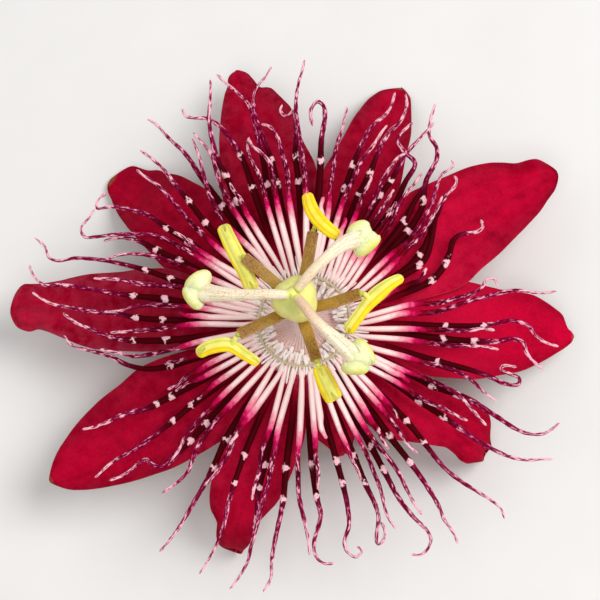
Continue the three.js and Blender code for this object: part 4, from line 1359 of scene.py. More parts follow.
@dataclass(frozen=True)
class FilamentShape:
    """Sizes that the filaments of one row share, in millimetres; marks are seen distances."""

    level: float
    arch: float
    widths: Stops
    flatness: float
    lift: Pair
    swelling: float = 0.0
    wave: float = 0.16
    thinning: float = 0.35
    lumpiness: float = 0.1
    spot_length: float = 0.8
    grid: Grid = Grid(110, 10)

    def height(self, radius: float) -> float:
        """level + arch * exp(-((radius - 15) / 5)^2) - FILAMENT_DROOP * (radius - ring)^2."""
        rise = self.arch * float(bell(radius, 15.0, 5.0))
        return self.level + rise - FILAMENT_DROOP * (radius - RING_RADIUS) ** 2

    def waypoints(self, root: float, bends: Stops) -> Array:
        """From the groove, over the rim of the ring and through each bend.

        Args:
            root: the bearing at which the filament is seen to leave the ring.
            bends: the (bearing, radius) at which it is seen further out.

        Returns:
            The points.
        """
        x, y, _ = sighted(root, RING_RADIUS, self.level)
        bearing = math.degrees(math.atan2(y, x))
        first = [
            polar(bearing, RING_RADIUS - 0.45, self.level - 0.8),
            polar(bearing, RING_RADIUS + 0.05, self.level - 0.05),
            polar(bearing, RING_RADIUS + 0.9, self.level + 0.3 * self.arch),
        ]
        return np.array(first + [sighted(b, r, self.height(r)) for b, r in bends])

    def add(self, made: Surface, strand: Strand, rng: Rng) -> None:
        """Adds one filament: an oval rod, swollen at its two marks, thin and wavy at its tip.

        Half width = width(seen distance) * thin * (1 + swellings + lumps). The waves grow
        with the share of the length, and a lift that grows with its square keeps strands
        apart.

        Args:
            made: the surface that gets it.
            strand: its root, marks and bends.
            rng: draws its small differences.
        """
        root, marks, bends = strand
        first, second = marks if isinstance(marks, tuple) else (marks, 0.0)
        centre = curve_through(self.waypoints(root, bends), self.grid.rings)
        share = np.linspace(0, 1, self.grid.rings)
        tint = rng.uniform()
        turns, starts = rng.uniform(2.2, 4.2, 2), rng.uniform(0, 2 * np.pi, 2)
        loose = smoothstep(share, 0.4, 1.0) * self.wave
        path = Path.of_points(centre)
        sway = loose * np.sin(2 * np.pi * turns[0] * share + starts[0])
        heave = 1.6 * loose * np.sin(2 * np.pi * turns[1] * share + starts[1])
        heave = heave + rng.uniform(*self.lift) * share**2
        towards_eye = heave[:, None] * unit(np.array(EYE))
        path = Path.of_points(centre + sway[:, None] * path.side + towards_eye)
        reach = seen_reach(path.centre)
        width = through_points(np.clip(reach, 8.5, REACH_END), self.widths) * rng.uniform(0.92, 1.1)
        thin = 1 - self.thinning * smoothstep(share, 0.7, 1)
        swell = sum(bell(reach, mark, self.spot_length) for mark in (first, second)) * self.swelling
        lumps = np.sin(share * path.length * 2.3 + starts[0]) * smoothstep(share, 0.5, 0.9)
        size = width * thin * (1 + swell + self.lumpiness * lumps) * tip_rounding(share, 0.01, 0.015)
        turn = round_angles(self.grid.sides)
        made.add_tube(
            path.at(size[:, None] * np.cos(turn), self.flatness * size[:, None] * np.sin(turn)),
            reach=reach[:, None], strand=tint, share=share[:, None], around=np.cos(turn),
            walked=(share * path.length)[:, None], mark_1=float(first), mark_2=float(second),
        )


OUTER_ROW: list[Strand] = [
    (359, (25.2, 32), [(358.5, 20), (358.3, 25), (358.6, 30), (359.4, 34), (360.2, 36.5), (359, 39.8),
     (356.5, 41.5), (354.9, 43.5), (354.2, 45.5)]),
    (13.5, (23.8, 27.3), [(15.5, 16), (16.6, 21), (18, 24), (20.4, 26), (22.9, 27.4), (25.8, 28.9),
     (28.2, 30.2), (29, 31.4), (28.6, 33), (27.7, 34.7), (28, 36), (30, 36.5)]),
    (22.5, 22.8, [(24.8, 18), (26, 22.8), (28.1, 24.7), (31.7, 26.4), (35.3, 28.1), (37.8, 29.6),
     (39.8, 31.5), (41.9, 33.8), (42.1, 36.1), (42.9, 37.1), (44.2, 37.3)]),
    (24, 23.8, [(27, 20), (29.8, 23.8), (32.6, 25.7), (36, 27.9), (39.4, 30.2)]),
    (37.5, (24.5, 30.3), [(39.5, 19.6), (41, 24.5), (43.8, 28.9), (46.4, 31), (49, 33.3), (50.8, 37.3),
     (53, 39), (56, 40), (58.9, 45.5)]),
    (40.5, 25.1, [(42.7, 19.2), (43.8, 22.3), (45, 25.1), (46.8, 28.5), (49, 33)]),
    (50.5, 24.8, [(51.5, 21), (51.7, 25), (53.8, 30.3), (55, 34.4), (59, 35), (62.5, 36.5),
     (61.5, 40.5)]),
    (59.5, (26.2, 29.5), [(59, 20), (59, 26.2), (58.4, 29.5), (58.5, 34), (58, 38), (56.9, 42.5)]),
    (67, (24.6, 28.8), [(66.4, 20), (66.5, 24.6), (66, 29), (66.4, 34), (65.8, 37), (64.2, 39.5),
     (64.3, 42.5), (66, 44.5)]),
    (73.5, (24.8, 29.2), [(73, 20), (72.9, 25), (72.6, 29.2), (72, 33), (70.9, 37), (68.8, 39),
     (67.7, 41), (68.3, 44)]),
    (83.5, (0, 28.7), [(83.5, 20), (83.6, 25), (84, 28.7), (84.5, 33), (84.3, 37), (85, 38.7),
     (86.5, 39.3), (88.2, 38), (88.3, 36.3), (87.4, 34.8)]),
    (91, (24.9, 29.4), [(91.6, 18), (92.2, 25), (92.8, 29.4), (92.5, 34), (92.7, 37.8), (93.5, 37.4),
     (94.9, 36.8), (96.2, 37.8), (95.7, 38.9)]),
    (101, (25, 29.3), [(101, 20), (100.9, 25), (101.2, 29), (102, 32), (103.2, 36.5), (103, 39.5),
     (101.3, 42.5), (99, 44.3), (97.3, 46)]),
    (105.5, 25.2, [(105.3, 20), (105.2, 25), (104.2, 29), (104, 33), (104, 37), (104.4, 40),
     (106, 42.5), (108, 45), (109.4, 47)]),
    (112, (25.5, 31.7), [(111.6, 18), (110.9, 25.5), (110.6, 31), (111.5, 34.5), (113.5, 38),
     (115.6, 40), (118.5, 41.2), (119.9, 42.3), (119.6, 43.8)]),
    (119.8, (24.5, 29.5), [(119.5, 20), (119.2, 24.5), (118, 29.5), (118.1, 32), (117, 36),
     (115, 39.8), (113, 42.5), (111.2, 46.3)]),
    (125.5, 25.1, [(125.5, 16), (125.1, 25), (125.3, 31), (125.3, 36), (126, 40), (126.8, 43.5),
     (127.8, 45.7)]),
    (135, (24.8, 29.5), [(135, 20), (134.9, 24.8), (133.6, 29.5), (133, 34), (132.9, 38),
     (133.6, 42.3)]),
    (145, (24.9, 29.6), [(145.5, 20), (145.4, 25), (145.6, 29.6), (145.4, 33.5), (147.2, 36.8),
     (149.3, 39.8), (151.2, 42), (149.4, 42.4), (146.6, 41.7)]),
    (154.5, (24.8, 29.2), [(154.3, 20), (153.9, 24.8), (154.1, 29.2), (153.7, 32.5), (155.2, 35.5),
     (158, 38.5)]),
    (162.3, (25, 29.6), [(162.3, 18), (162.1, 25), (161.9, 29.6), (162.4, 34), (163, 38), (164.3, 42),
     (166.2, 45), (166, 46.7), (163.7, 48), (162.4, 50.2)]),
    (171.3, (25.1, 30.7), [(171.2, 20), (170.7, 25), (171.3, 30.7), (171.3, 37), (171.5, 44),
     (171.8, 46.5), (170.3, 48.6), (168.2, 50)]),
    (179.6, (25, 29.8), [(179.4, 20), (179.2, 25), (178.6, 29.8), (177.5, 33.5), (177, 39),
     (176, 44.5), (173.8, 48.8)]),
    (188.4, (24.8, 30.6), [(188.2, 20), (187.6, 24.8), (186.2, 30.5), (183.5, 36), (180.5, 40),
     (177.8, 42.9)]),
    (198.8, 24.9, [(198.7, 20), (198.3, 24.9), (196.8, 29), (194, 32), (190.3, 35), (187.5, 38.5),
     (185.3, 42), (183.3, 43)]),
    (210.6, (27, 30), [(210, 18), (209.4, 25), (209.2, 29), (208.8, 32), (207.4, 35.5), (207, 39.5),
     (205.8, 43.8)]),
    (217, (25, 29.2), [(216.8, 20), (216.6, 25), (217.2, 29.2), (217.2, 34), (217, 38), (216.2, 43.5),
     (216.5, 46.5)]),
    (226, (25, 29.2), [(226, 20), (226.1, 25), (226.3, 29.2), (226.3, 33), (226, 35.6), (224.5, 36.8),
     (221, 37.2), (220.3, 39), (220.3, 42), (219.3, 44.8)]),
    (235.8, (25.1, 30.5), [(235.8, 18), (236.4, 25), (238, 30.5), (238.6, 36), (238.8, 42),
     (237.7, 48.3)]),
    (244.8, (25.9, 31.3), [(244.8, 15), (245.3, 20), (245.8, 25.9), (246.7, 31.3), (247.6, 36),
     (248.7, 41), (248.5, 44.5), (247.3, 48.5)]),
    (253.7, (26.4, 30.5), [(253.6, 18), (254, 22), (254.5, 26.4), (255, 30.5), (255.6, 34),
     (256.3, 38)]),
    (263.3, (26.1, 31.7), [(263.3, 15), (263, 26), (263.3, 31.7), (262.8, 37), (262.3, 43),
     (262.4, 46), (261.2, 48.6)]),
    (272.8, (25.5, 31), [(272.8, 15), (273, 20), (273.3, 25.5), (274, 31), (274.8, 34.5), (273.7, 37),
     (272.7, 39.5), (273.2, 41.8), (275, 43), (277.2, 43.2)]),
    (282.3, (25.5, 29.5), [(282.3, 18), (283.2, 25), (283.4, 29.5), (283.4, 33.5), (282.3, 37),
     (280.4, 39.5), (280.6, 41.3), (282.6, 42.7), (284.1, 42), (283.3, 40.9)]),
    (289.6, (25.5, 30.7), [(289.6, 18), (290.4, 25.5), (290.8, 30.7), (291.2, 34.5), (290.8, 37),
     (289, 40), (288.4, 41.6), (290, 41.2), (291.4, 39.5), (291.2, 38)]),
    (298, (25.1, 29.8), [(298, 18), (298.3, 25.2), (298.2, 30), (298.2, 35.5), (299.3, 39.5),
     (300.6, 43), (300.2, 44.8), (298.3, 46), (296.5, 46.2), (294.8, 45.4)]),
    (307, (25.4, 31.3), [(307, 18), (306.8, 25.5), (307, 31.3), (306.7, 36), (306.3, 40.5),
     (305.4, 43.5), (305.3, 46), (304.5, 48)]),
    (316.6, (25.4, 30.2), [(316.5, 18), (316, 25), (314.8, 30.2), (314, 34.5), (314.3, 38.5),
     (315.3, 42.5), (316.2, 46.5), (316.3, 48.5), (315.4, 50.2)]),
    (326.3, (25, 30.2), [(326, 20), (325.6, 25), (325.7, 30.2), (325.6, 36), (326, 40), (326.7, 44),
     (328.2, 47), (330, 49), (331.2, 50.7)]),
    (334.3, (25.6, 30.3), [(334, 20), (333.6, 25.6), (334.6, 30.3), (334.6, 34), (333.7, 38),
     (333.1, 42), (333.6, 44.5), (335.2, 47), (338.4, 48.9)]),
    (343.5, 24.8, [(343.4, 20), (343.5, 25), (343.8, 30), (343.5, 34.5), (343, 37.5), (343.8, 39.7),
     (345.3, 39.6), (346, 37.5), (346.4, 36.2), (347.4, 36.5), (347.9, 38.8)]),
    (353, (24.9, 30.5), [(353, 20), (353, 25), (353.5, 30.5), (354.3, 34.5), (355.3, 37), (354.5, 39),
     (352, 39.9), (350.2, 41.5), (348.9, 43.6)]),
]

INNER_ROW: list[Strand] = [
    (357.5, 17.8, [(359.5, 11), (362.4, 14), (364.8, 17.4), (364.2, 20.5), (364.6, 24.5), (366.5, 28),
     (368.2, 34), (368.4, 37), (367.2, 42), (366.8, 45.3)]),
    (3.5, 18.4, [(5.3, 11.5), (8.3, 16.5), (9.1, 19), (8, 24), (8.3, 26.5), (9.4, 30), (11.2, 32.3),
     (12.9, 33.4), (12.4, 34.6), (10.4, 34.9)]),
    (15, 14.5, [(16, 13), (19.1, 17), (19.4, 20.8), (20.6, 22.1), (23.3, 23.9)]),
    (26.5, 17.6, [(28.5, 12.5), (31.5, 17), (33.1, 19.3), (35.3, 22.7), (36.2, 25.5), (37.8, 27.9),
     (40, 30.3), (42, 33.3)]),
    (31, 17.6, [(33, 11.5), (36.6, 16.5), (37.6, 19.5), (38.2, 24.3), (39.5, 26.7), (42.4, 30.4),
     (44, 32.3), (46.1, 34.6), (46.9, 36), (46.5, 38.4), (47.9, 38.9)]),
    (37, 16.5, [(39, 11), (44.7, 16.5), (47.2, 20.5), (48.9, 23.7), (50.8, 27), (51.5, 30),
     (51.5, 33.8)]),
    (43, 16, [(44.5, 11), (48.5, 15.8), (50.8, 20), (51.5, 24), (52, 27)]),
    (48.5, 15.5, [(49.5, 11), (52.5, 15), (54.5, 20), (55.6, 25), (55.4, 28.5)]),
    (53, 16, [(54, 10.5), (56.5, 13.5), (59.3, 20), (60.2, 26), (60.9, 31), (60.3, 33.8), (58.9, 35)]),
    (58, 19, [(59, 11), (61.5, 14), (64, 20.5), (64.8, 25), (65.2, 28.5)]),
    (63.5, 18, [(64.3, 11), (66.5, 15), (68.2, 20)]),
    (69, 20, [(70.2, 13), (72, 20), (71.8, 24), (70.9, 27), (70.3, 30), (68.6, 34), (66.8, 38)]),
    (76.3, 20.4, [(76.5, 12), (77.5, 20), (78.8, 24.5), (79.3, 29), (79.3, 33), (78.7, 36.5),
     (78.2, 39.2)]),
    (78.8, 22.5, [(79.2, 12), (80, 17), (81.7, 22.4)]),
    (87.5, 21, [(88.4, 15), (89, 21), (89.4, 24.5), (90.3, 28.5), (91.4, 33), (92.2, 37), (91.4, 41.5),
     (90, 46.7)]),
    (93.3, 20.2, [(94.6, 12), (96.7, 20), (96.8, 24), (96.4, 27.5), (97.5, 31), (98.8, 34),
     (100.5, 35.4), (102.2, 36)]),
    (101.6, 20.2, [(101.9, 12), (102.8, 20), (102.4, 24), (102, 27), (102.6, 29.5), (104.4, 31.4),
     (106.1, 32.5), (107, 33.8)]),
    (108.2, 20.2, [(108, 12), (107.6, 20), (107, 25), (107, 28.5), (108.2, 31.5), (107.8, 33.2),
     (106.6, 34.3)]),
    (113.6, 20, [(114.3, 11), (117.6, 20), (117.7, 24), (117.9, 28)]),
    (121.6, 21, [(121.8, 12), (122, 21), (121.8, 25), (121.3, 28.5), (119.9, 31.5), (119.2, 34.8),
     (119.6, 37), (120.2, 39)]),
    (122.6, 18.4, [(123.8, 12.5), (126.3, 16.5), (127.8, 19.5), (128.2, 23), (127.3, 26.5),
     (125.6, 29.5), (123.7, 32.5), (122.3, 35.5), (121.5, 38.3)]),
    (132, 18.5, [(132, 13), (132.4, 22)]),
    (139, 19.5, [(139.1, 12), (139.3, 19), (139.2, 23), (138.6, 27), (137.5, 31), (137, 34.5),
     (137.6, 40.3)]),
    (144, 20, [(144.6, 14.5), (145.8, 20), (145.4, 25), (145.3, 28.2)]),
    (149.8, 20, [(149.2, 14), (148.6, 20), (148.8, 26), (149.7, 30), (152, 33.3), (155, 36.8),
     (158, 40), (159, 41.7), (157.4, 42.9), (154, 42.3), (151.6, 42)]),
    (154.6, 18.2, [(154.7, 14.5), (155, 18), (155.3, 24), (156, 28), (158, 32), (160.3, 35),
     (162.4, 36.9)]),
    (159.5, 18, [(159.5, 12), (159.5, 20.5)]),
    (164.2, 18, [(164.3, 12.3), (164, 19), (164.5, 23.5), (166, 27), (167.2, 31), (167.4, 34.5),
     (168.1, 38.2)]),
    (168.6, 18, [(168.5, 12), (168.3, 20.5)]),
    (174.3, 18.2, [(173.8, 11), (172.3, 18), (172.7, 22), (173.6, 27), (175, 30.3), (176.5, 33),
     (177.3, 35.5)]),
    (176.2, 19, [(176.5, 12.5), (177, 18.5), (176.5, 21), (176, 22.5)]),
    (182.9, 19.2, [(182.6, 11), (181.2, 18.5), (181.8, 22), (183, 27), (183.4, 31), (183, 34.5)]),
    (190.3, 20, [(190.5, 13), (190.9, 20), (191.8, 23.5), (192, 27.5), (191, 31.5), (189, 34.5),
     (187.5, 36.5)]),
    (194.6, 17.5, [(194.6, 12), (195, 20)]),
    (198, 17.5, [(198, 11), (197.4, 19), (197, 26)]),
    (202.8, 18, [(203, 11.7), (203.8, 18), (205, 22), (206, 25), (206.7, 27)]),
    (208.8, 18.8, [(208.8, 13), (208.8, 18.8), (208.2, 23), (208, 26)]),
    (214.6, 18, [(214.7, 13), (214.9, 18), (215.6, 21.5), (216, 23.6)]),
    (221.3, 19, [(221.5, 13), (222, 19), (222.5, 22.5), (223.6, 26.5), (224.2, 29.5), (225.4, 31.8),
     (226, 34)]),
    (229.9, 18.6, [(229.5, 11), (228.7, 18.5), (228.3, 23), (229.3, 28), (231, 31.5), (232, 34),
     (231.5, 37), (230.6, 39.6)]),
    (236.6, 17.8, [(236.8, 12.3), (237.4, 17.7), (238.6, 23), (240, 28), (240, 31), (239, 34)]),
    (245.6, 18.6, [(244.3, 11), (240.5, 18.5), (239.2, 22), (238.6, 25.5)]),
    (249.8, 19, [(250.1, 11), (252.4, 19), (252.2, 22), (252.3, 25), (253.3, 28), (253.6, 33)]),
    (258.3, 20.2, [(257.9, 11), (256.4, 19.5), (257, 23), (257.4, 30), (256.9, 36), (256.7, 41),
     (256.9, 43.5), (256, 46.5), (254.5, 49.3)]),
    (268, 21, [(268, 11), (267.8, 20), (267.3, 24), (267.8, 27), (268.5, 31), (270.2, 36), (271, 39),
     (271.4, 41.5)]),
    (276.4, 19.8, [(276.3, 11), (275.5, 19.7), (275.2, 23), (275.1, 30)]),
    (280.6, 21.5, [(280.5, 11), (279.7, 19), (280.5, 21.2)]),
    (287.2, 22, [(287.4, 13), (288.6, 22), (289.5, 26), (289.7, 30)]),
    (293.6, 21.7, [(293.8, 13), (294.9, 21.7), (295.3, 27), (294.7, 31), (294, 34.5), (293.4, 38),
     (293.7, 40.3)]),
    (300.1, 20, [(300, 11), (299.9, 20), (300.5, 24.5), (301.6, 28.5), (302.2, 32), (301.6, 35),
     (301, 38), (301.3, 40.2)]),
    (307.7, 18.8, [(307, 11), (304.8, 18.5), (304.2, 22), (303.8, 25), (303.6, 27.3)]),
    (312.3, 19, [(312.3, 13), (312, 19), (311.6, 22), (310.7, 26), (310.5, 31)]),
    (317, 18.2, [(316.9, 13), (316.3, 18), (315.3, 21.5), (314.5, 24)]),
    (324, 19.2, [(324.3, 13), (326.8, 19.3), (326.8, 24), (327.6, 28), (328.4, 31), (329, 34)]),
    (330.2, 19.2, [(330.3, 13), (330.8, 19.2), (330.5, 21.7)]),
    (333.2, 19.2, [(333.3, 13), (333.9, 19.2), (334.9, 23), (335.3, 27), (334.6, 30.3), (332.8, 32.8),
     (331.5, 35), (330.4, 37.4)]),
    (338.4, 18.8, [(339, 13), (340.9, 18.7), (341.2, 22), (342, 26), (341.6, 29.8), (340.2, 32.5),
     (338.5, 34.8), (337.4, 37)]),
    (345.3, 18.8, [(346.3, 11), (350.1, 18.7), (350.4, 22), (350.8, 26), (352, 29.5), (351.9, 32),
     (351.6, 35)]),
    (352.6, 18.8, [(353.4, 11), (356.1, 18.7), (356.3, 22), (356.7, 26.5), (357.4, 31), (357.4, 34)]),
]


def collar(outline: Stops, sides: int, count: int = 48) -> Array:
    """Rings of a collar whose section follows (radius, height) corners counter-clockwise.

    Args:
        outline: the corners; the last joins the first.
        sides, count: points round the axis, and round the section.

    Returns:
        (count, sides, 3) points.
    """
    corners = [(r, 0.0, z) for r, z in outline]
    loop = curve_through(np.array([*corners, corners[0]]), count + 1)[:-1]
    return polar(np.degrees(round_angles(sides)), loop[:, :1], loop[:, 2:])


@dataclass(frozen=True)
class StripTier:
    """One layer of the flat strips that lean in over the throat."""

    count: int
    lengths: Pair
    half_widths: Pair
    height: float
    dip: float


@dataclass
class Corona:
    """The two rows of filaments, the ring of teeth and the operculum that closes the throat."""

    outer: FilamentShape = FilamentShape(
        level=-1.2, arch=0.3, flatness=0.66, lift=(-1.0, 0.6), swelling=0.2,
        widths=[(8.5, 0.5), (13, 0.6), (22, 0.62), (31, 0.5), (36, 0.42), (44, 0.37), (52, 0.32)],
    )
    inner: FilamentShape = FilamentShape(
        level=0.25, arch=1.4, flatness=0.78, lift=(0.0, 1.2), grid=Grid(96, 10),
        widths=[(8.5, 0.34), (11, 0.43), (15, 0.54), (18, 0.53), (23, 0.45), (32, 0.38), (52, 0.3)],
    )
    outer_band: Stops = ((8.6, -2.9), (9, -2.9), (9.1, -1.9), (9.8, -1.7), (9.8, -1.1), (8.6, -1.1))
    inner_band: Stops = (
        (8.2, -0.9), (9.1, -0.95), (9.6, -0.9), (9.4, -0.6), (8.9, -0.3), (8.5, -0.15),
    )
    tooth_band: Stops = ((7.2, -0.7), (8.0, -0.7), (8.3, -0.2), (7.95, 0.2), (7.2, 0.2))
    band_sides: int = 180
    strip_root: float = 8.0
    strip_thickness: float = 0.11
    strip_grid: Grid = Grid(22, 12)
    tiers: tuple[StripTier, ...] = (
        StripTier(count=44, lengths=(2.0, 3.2), half_widths=(0.26, 0.4), height=0.1, dip=0.3),
        StripTier(count=38, lengths=(1.4, 2.7), half_widths=(0.22, 0.36), height=0.45, dip=0.3),
        StripTier(count=30, lengths=(0.8, 1.9), half_widths=(0.18, 0.3), height=0.75, dip=0.2),
    )
    stub_count: int = 84
    stub_reaches: Pair = (1.6, 4.2)
    stub_half_widths: Pair = (0.15, 0.26)
    stub_thickness: float = 0.16
    rope_turns: int = 46
    rope_radius: float = 8.25
    rope_grid: Grid = Grid(14, 720)
    throat_radii: Pair = (7.25, 1.75)
    throat_wall: float = 0.22
    throat_grid: Grid = Grid(26, 520)
    rib_count: int = 52
    rib_depth: float = 0.17

    def build(self) -> None:
        """Makes and dresses the four pieces."""
        rng = np.random.default_rng(SEED)
        outer = self._row(self.outer, OUTER_ROW, rng, self.outer_band)
        install(outer, "corona_outer_row", FilamentFinish(Row.OUTER).material(), "corona_outer")
        inner = self._row(self.inner, INNER_ROW, rng, self.inner_band)
        install(inner, "corona_inner_row", FilamentFinish(Row.INNER).material(), "corona_inner")
        install(self._teeth(rng), "corona_teeth", ToothFinish().material(), "corona_teeth")
        install(self._operculum(), "operculum", THROAT.material(), "throat")

    def _row(self, shape: FilamentShape, strands: list[Strand], rng: Rng, band: Stops) -> Surface:
        """A band round the throat and the filaments that leave it.

        Args:
            shape: the sizes of its filaments.
            strands: their courses.
            rng: draws their small differences.
            band: the section of the band.

        Returns:
            The row.
        """
        made = Surface()
        rings = collar(band, self.band_sides)
        made.add_hoop(
            rings, reach=8.6, strand=0.5, share=0.0, around=0.0, walked=0.0, mark_1=18.0, mark_2=0.0
        )
        for strand in strands:
            shape.add(made, strand, rng)
        return made

    def _teeth(self, rng: Rng) -> Surface:
        """Tiers of blunt strips that lean in over the throat, and short stubs that lean out.

        Args:
            rng: draws the small differences.

        Returns:
            The teeth with their band and seam.
        """
        made = Surface()
        made.add_hoop(collar(self.tooth_band, self.band_sides), across=0.0, along=0.0, groove=0.85)
        made.add_hoop(self._rope(), across=0.0, along=0.0, groove=1.0)
        for tier in self.tiers:
            for index in range(tier.count):
                self._add_strip(made, tier, (index + rng.uniform(-0.35, 0.35)) / tier.count, rng)
        for index in range(self.stub_count):
            bearing = (index + rng.uniform(-0.3, 0.3)) * 360 / self.stub_count
            reach = self.strip_root + rng.uniform(*self.stub_reaches)
            course = np.array([
                polar(bearing, self.strip_root + 0.1, 0.0),
                polar(bearing, self.strip_root + 0.7, 0.7),
                polar(bearing + rng.uniform(-3, 3), reach, rng.uniform(0.5, 0.9)),
            ])
            self._blunt_rod(made, course, rng.uniform(*self.stub_half_widths), self.stub_thickness)
        return made

    def _rope(self) -> Array:
        """The seam round the ring: a thin twisted cord, rope_turns waves round the axis.

        Returns:
            Rings that close both ways.
        """
        turn, around = round_angles(self.rope_grid.sides), round_angles(self.rope_grid.rings).T
        swell = 1 + 0.14 * np.sin(self.rope_turns * turn + 2 * around)
        wander = 0.1 * np.sin(9 * turn) * np.sin(4 * turn)
        radius = self.rope_radius + 0.34 * swell * np.cos(around) + wander
        height = 0.36 + 0.26 * swell * np.sin(around)
        return polar(np.degrees(turn), radius, height)

    def _add_strip(self, made: Surface, tier: StripTier, place: float, rng: Rng) -> None:
        """Adds one strip of a tier, at a place from 0 to 1 round the ring.

        Args:
            made: the surface that gets it.
            tier, place: its layer and its place.
            rng: draws its small differences.
        """
        bearing = place * 360
        length = rng.uniform(*tier.lengths)
        turned = bearing + rng.uniform(-3, 3)
        course = np.array([
            polar(bearing, self.strip_root + 0.05, tier.height - 0.35),
            polar(bearing, self.strip_root - 0.4, tier.height),
            polar((bearing + turned) / 2, self.strip_root - 0.6 * length, tier.height),
            polar(turned, self.strip_root - length, tier.height - tier.dip * rng.uniform(0.5, 1)),
        ])
        self._blunt_rod(made, course, rng.uniform(*tier.half_widths), self.strip_thickness)

    def _blunt_rod(self, made: Surface, course: Array, half_width: float, thickness: float) -> None:
        """Adds a flat rod with a rounded end, a little wider towards that end.

        Args:
            made: the surface that gets it.
            course: the points that it passes.
            half_width, thickness: its greatest, both counted from the middle.
        """
        path, share, turn = self.strip_grid.along(course)
        size = tip_rounding(share, 0.02, 0.12) * (0.8 + 0.25 * share)
        rings = path.at(
            half_width * size * signed_power(np.cos(turn), 0.8),
            thickness * size * signed_power(np.sin(turn), 0.8),
        )
        groove = 0.7 * (1 - smoothstep(share, 0.0, 0.16))
        made.add_tube(rings, across=np.cos(turn), along=share, groove=groove)

    def _operculum(self) -> Surface:
        """A thin ribbed cone from inside the teeth to the foot of the column.

        Its height eases from the rim up to the column, and ribs of rib_count waves round the
        axis are deepest half way; the underside follows it at the wall's thickness.

        Returns:
            The cone.
        """
        share = np.linspace(0, 1, self.throat_grid.rings)[:, None]
        turn = round_angles(self.throat_grid.sides)
        rim, foot = self.throat_radii
        radius = rim + (foot - rim) * share + 0 * turn
        height = -0.6 - 0.3 * np.sin(np.pi * share) + 2.0 * smoothstep(share, 0.4, 1.0)
        ribs = self.rib_depth * np.sin(self.rib_count * turn + 0.6 * np.sin(5 * turn))
        folds = 0.1 * np.sin(11 * turn + 1.3) * share
        height = height + (ribs + folds) * np.sin(np.pi * np.clip(share * 0.9 + 0.06, 0, 1))
        top = polar(np.degrees(turn), radius, height)
        bottom = top[::-1] - np.array([0, 0, self.throat_wall])
        across = np.vstack([ribs + 0 * share, ribs + 0 * share]) * 4
        along = np.vstack([share, share[::-1]])
        return Surface().add_hoop(np.vstack([top, bottom]), across=across, along=along)


# ---- column, stamens and pistil


@dataclass(frozen=True)
class Anther:
    """The pod on a stamen's tip: its bends, half widths and the way that its pollen side faces.

    facing and spread are angles round the section, in degrees, from the side of the larger
    bearings: the middle of the yellow side, and how far it reaches to either side of that.
    notch is how deep each end is parted, and split the share of the length where it eases in.
    """

    bends: tuple[Point, ...]
    widths: Stops
    facing: float
    spread: float
    notch: float = 0.55
    split: float = 0.1
    flatness: float = 0.56
    furrow_depth: float = 0.13
    neck_radii: Pair = (0.38, 0.58)
    grid: Grid = Grid(96, 60)
    neck_grid: Grid = Grid(24, 60)

    def surface(self, joint: Array) -> Surface:
        """A curved pod with furrows, its blunt ends parted by notches into two lobes.

        A short neck joins it to joint, the stamen's tip.

        The section is an oval, half width w(t) and half thickness flatness * w(t), cut by
        furrows: radius factor = 1 - sum of bumps at angles fixed to the pollen side.

        Args:
            joint: the point where the neck begins.

        Returns:
            The pod and its neck.
        """
        path, share, turn = self.grid.along(self.bends)
        apart = (turn - math.radians(self.facing) + np.pi) % (2 * np.pi) - np.pi
        furrow = sum(bell(apart, centre, 0.13) for centre in (-1.5, -0.5, 0.5, 1.5))
        furrow = furrow + 0.6 * bell(np.abs(apart), 2.55, 0.14)
        width = through_points(share, self.widths) * tip_rounding(share, 0.07, 0.07) + 0.02
        fading = np.sin(np.pi * np.clip(share, 0.03, 0.97)) ** 0.4
        factor = width * (1 - self.furrow_depth * furrow * fading)
        across, lift = factor * np.cos(turn), self.flatness * factor * np.sin(turn)
        lift = lift + 0.12 * width * bell(np.abs(apart), np.pi, 0.3)
        middle = bell(np.cos(turn), 0, 0.35)
        ahead = self.notch * middle * (
            1 - smoothstep(share, 0.0, self.split) - smoothstep(share, 1 - self.split, 1.0)
        )
        reach = math.radians(self.spread)
        pollen = 1 - smoothstep(np.abs(apart), reach - 0.2, reach + 0.2)
        pollen = pollen * (1 - 0.5 * bell(apart, 0, 0.3)) + 0 * share
        made = Surface().add_tube(
            path.at(across, lift, ahead), pollen=pollen, furrow=furrow + 0 * share
        )
        nearest = path.centre[np.argmin(np.linalg.norm(path.centre - joint, axis=1))]
        neck, share, turn = self.neck_grid.along([joint, (joint + nearest) / 2, nearest])
        size = np.interp(share, [0, 1], self.neck_radii) * tip_rounding(share, 0.1, 0.1)
        rings = neck.at(size * np.cos(turn), size * np.sin(turn))
        return made.add_tube(rings, pollen=0.0, furrow=0.0)


@dataclass(frozen=True)
class Stamen:
    """A flat strap from under the ovary, through its course, and the anther at its tip."""

    number: int
    course: tuple[Point, Point, Point]
    anther: Anther
    half_width: float = 1.03
    half_thickness: float = 0.42
    grid: Grid = Grid(90, 36)

    def strap(self) -> Surface:
        """A flat rod, crowned above, that ends in a small green joint under the anther.

        Returns:
            The strap.
        """
        path, share, turn = self.grid.along(self.course)
        width = self.half_width * (0.9 + 0.1 * smoothstep(share, 0, 0.35))
        width = width * (1 - 0.6 * smoothstep(share, 0.94, 0.96)) * tip_rounding(share, 0.0, 0.03)
        thick = self.half_thickness * (1 + 0.25 * bell(share, 0.96, 0.04))
        thick = thick * tip_rounding(share, 0.0, 0.04)
        rim = 0.1 * bell(np.abs(np.cos(turn)), 0.82, 0.14) * (share < 0.92)
        rings = path.at(
            width * signed_power(np.cos(turn), 0.85),
            thick * signed_power(np.sin(turn), 0.8) + rim,
        )
        joint = smoothstep(share, 0.945, 0.965)
        return Surface().add_tube(rings, across=np.cos(turn), along=share, joint=joint)


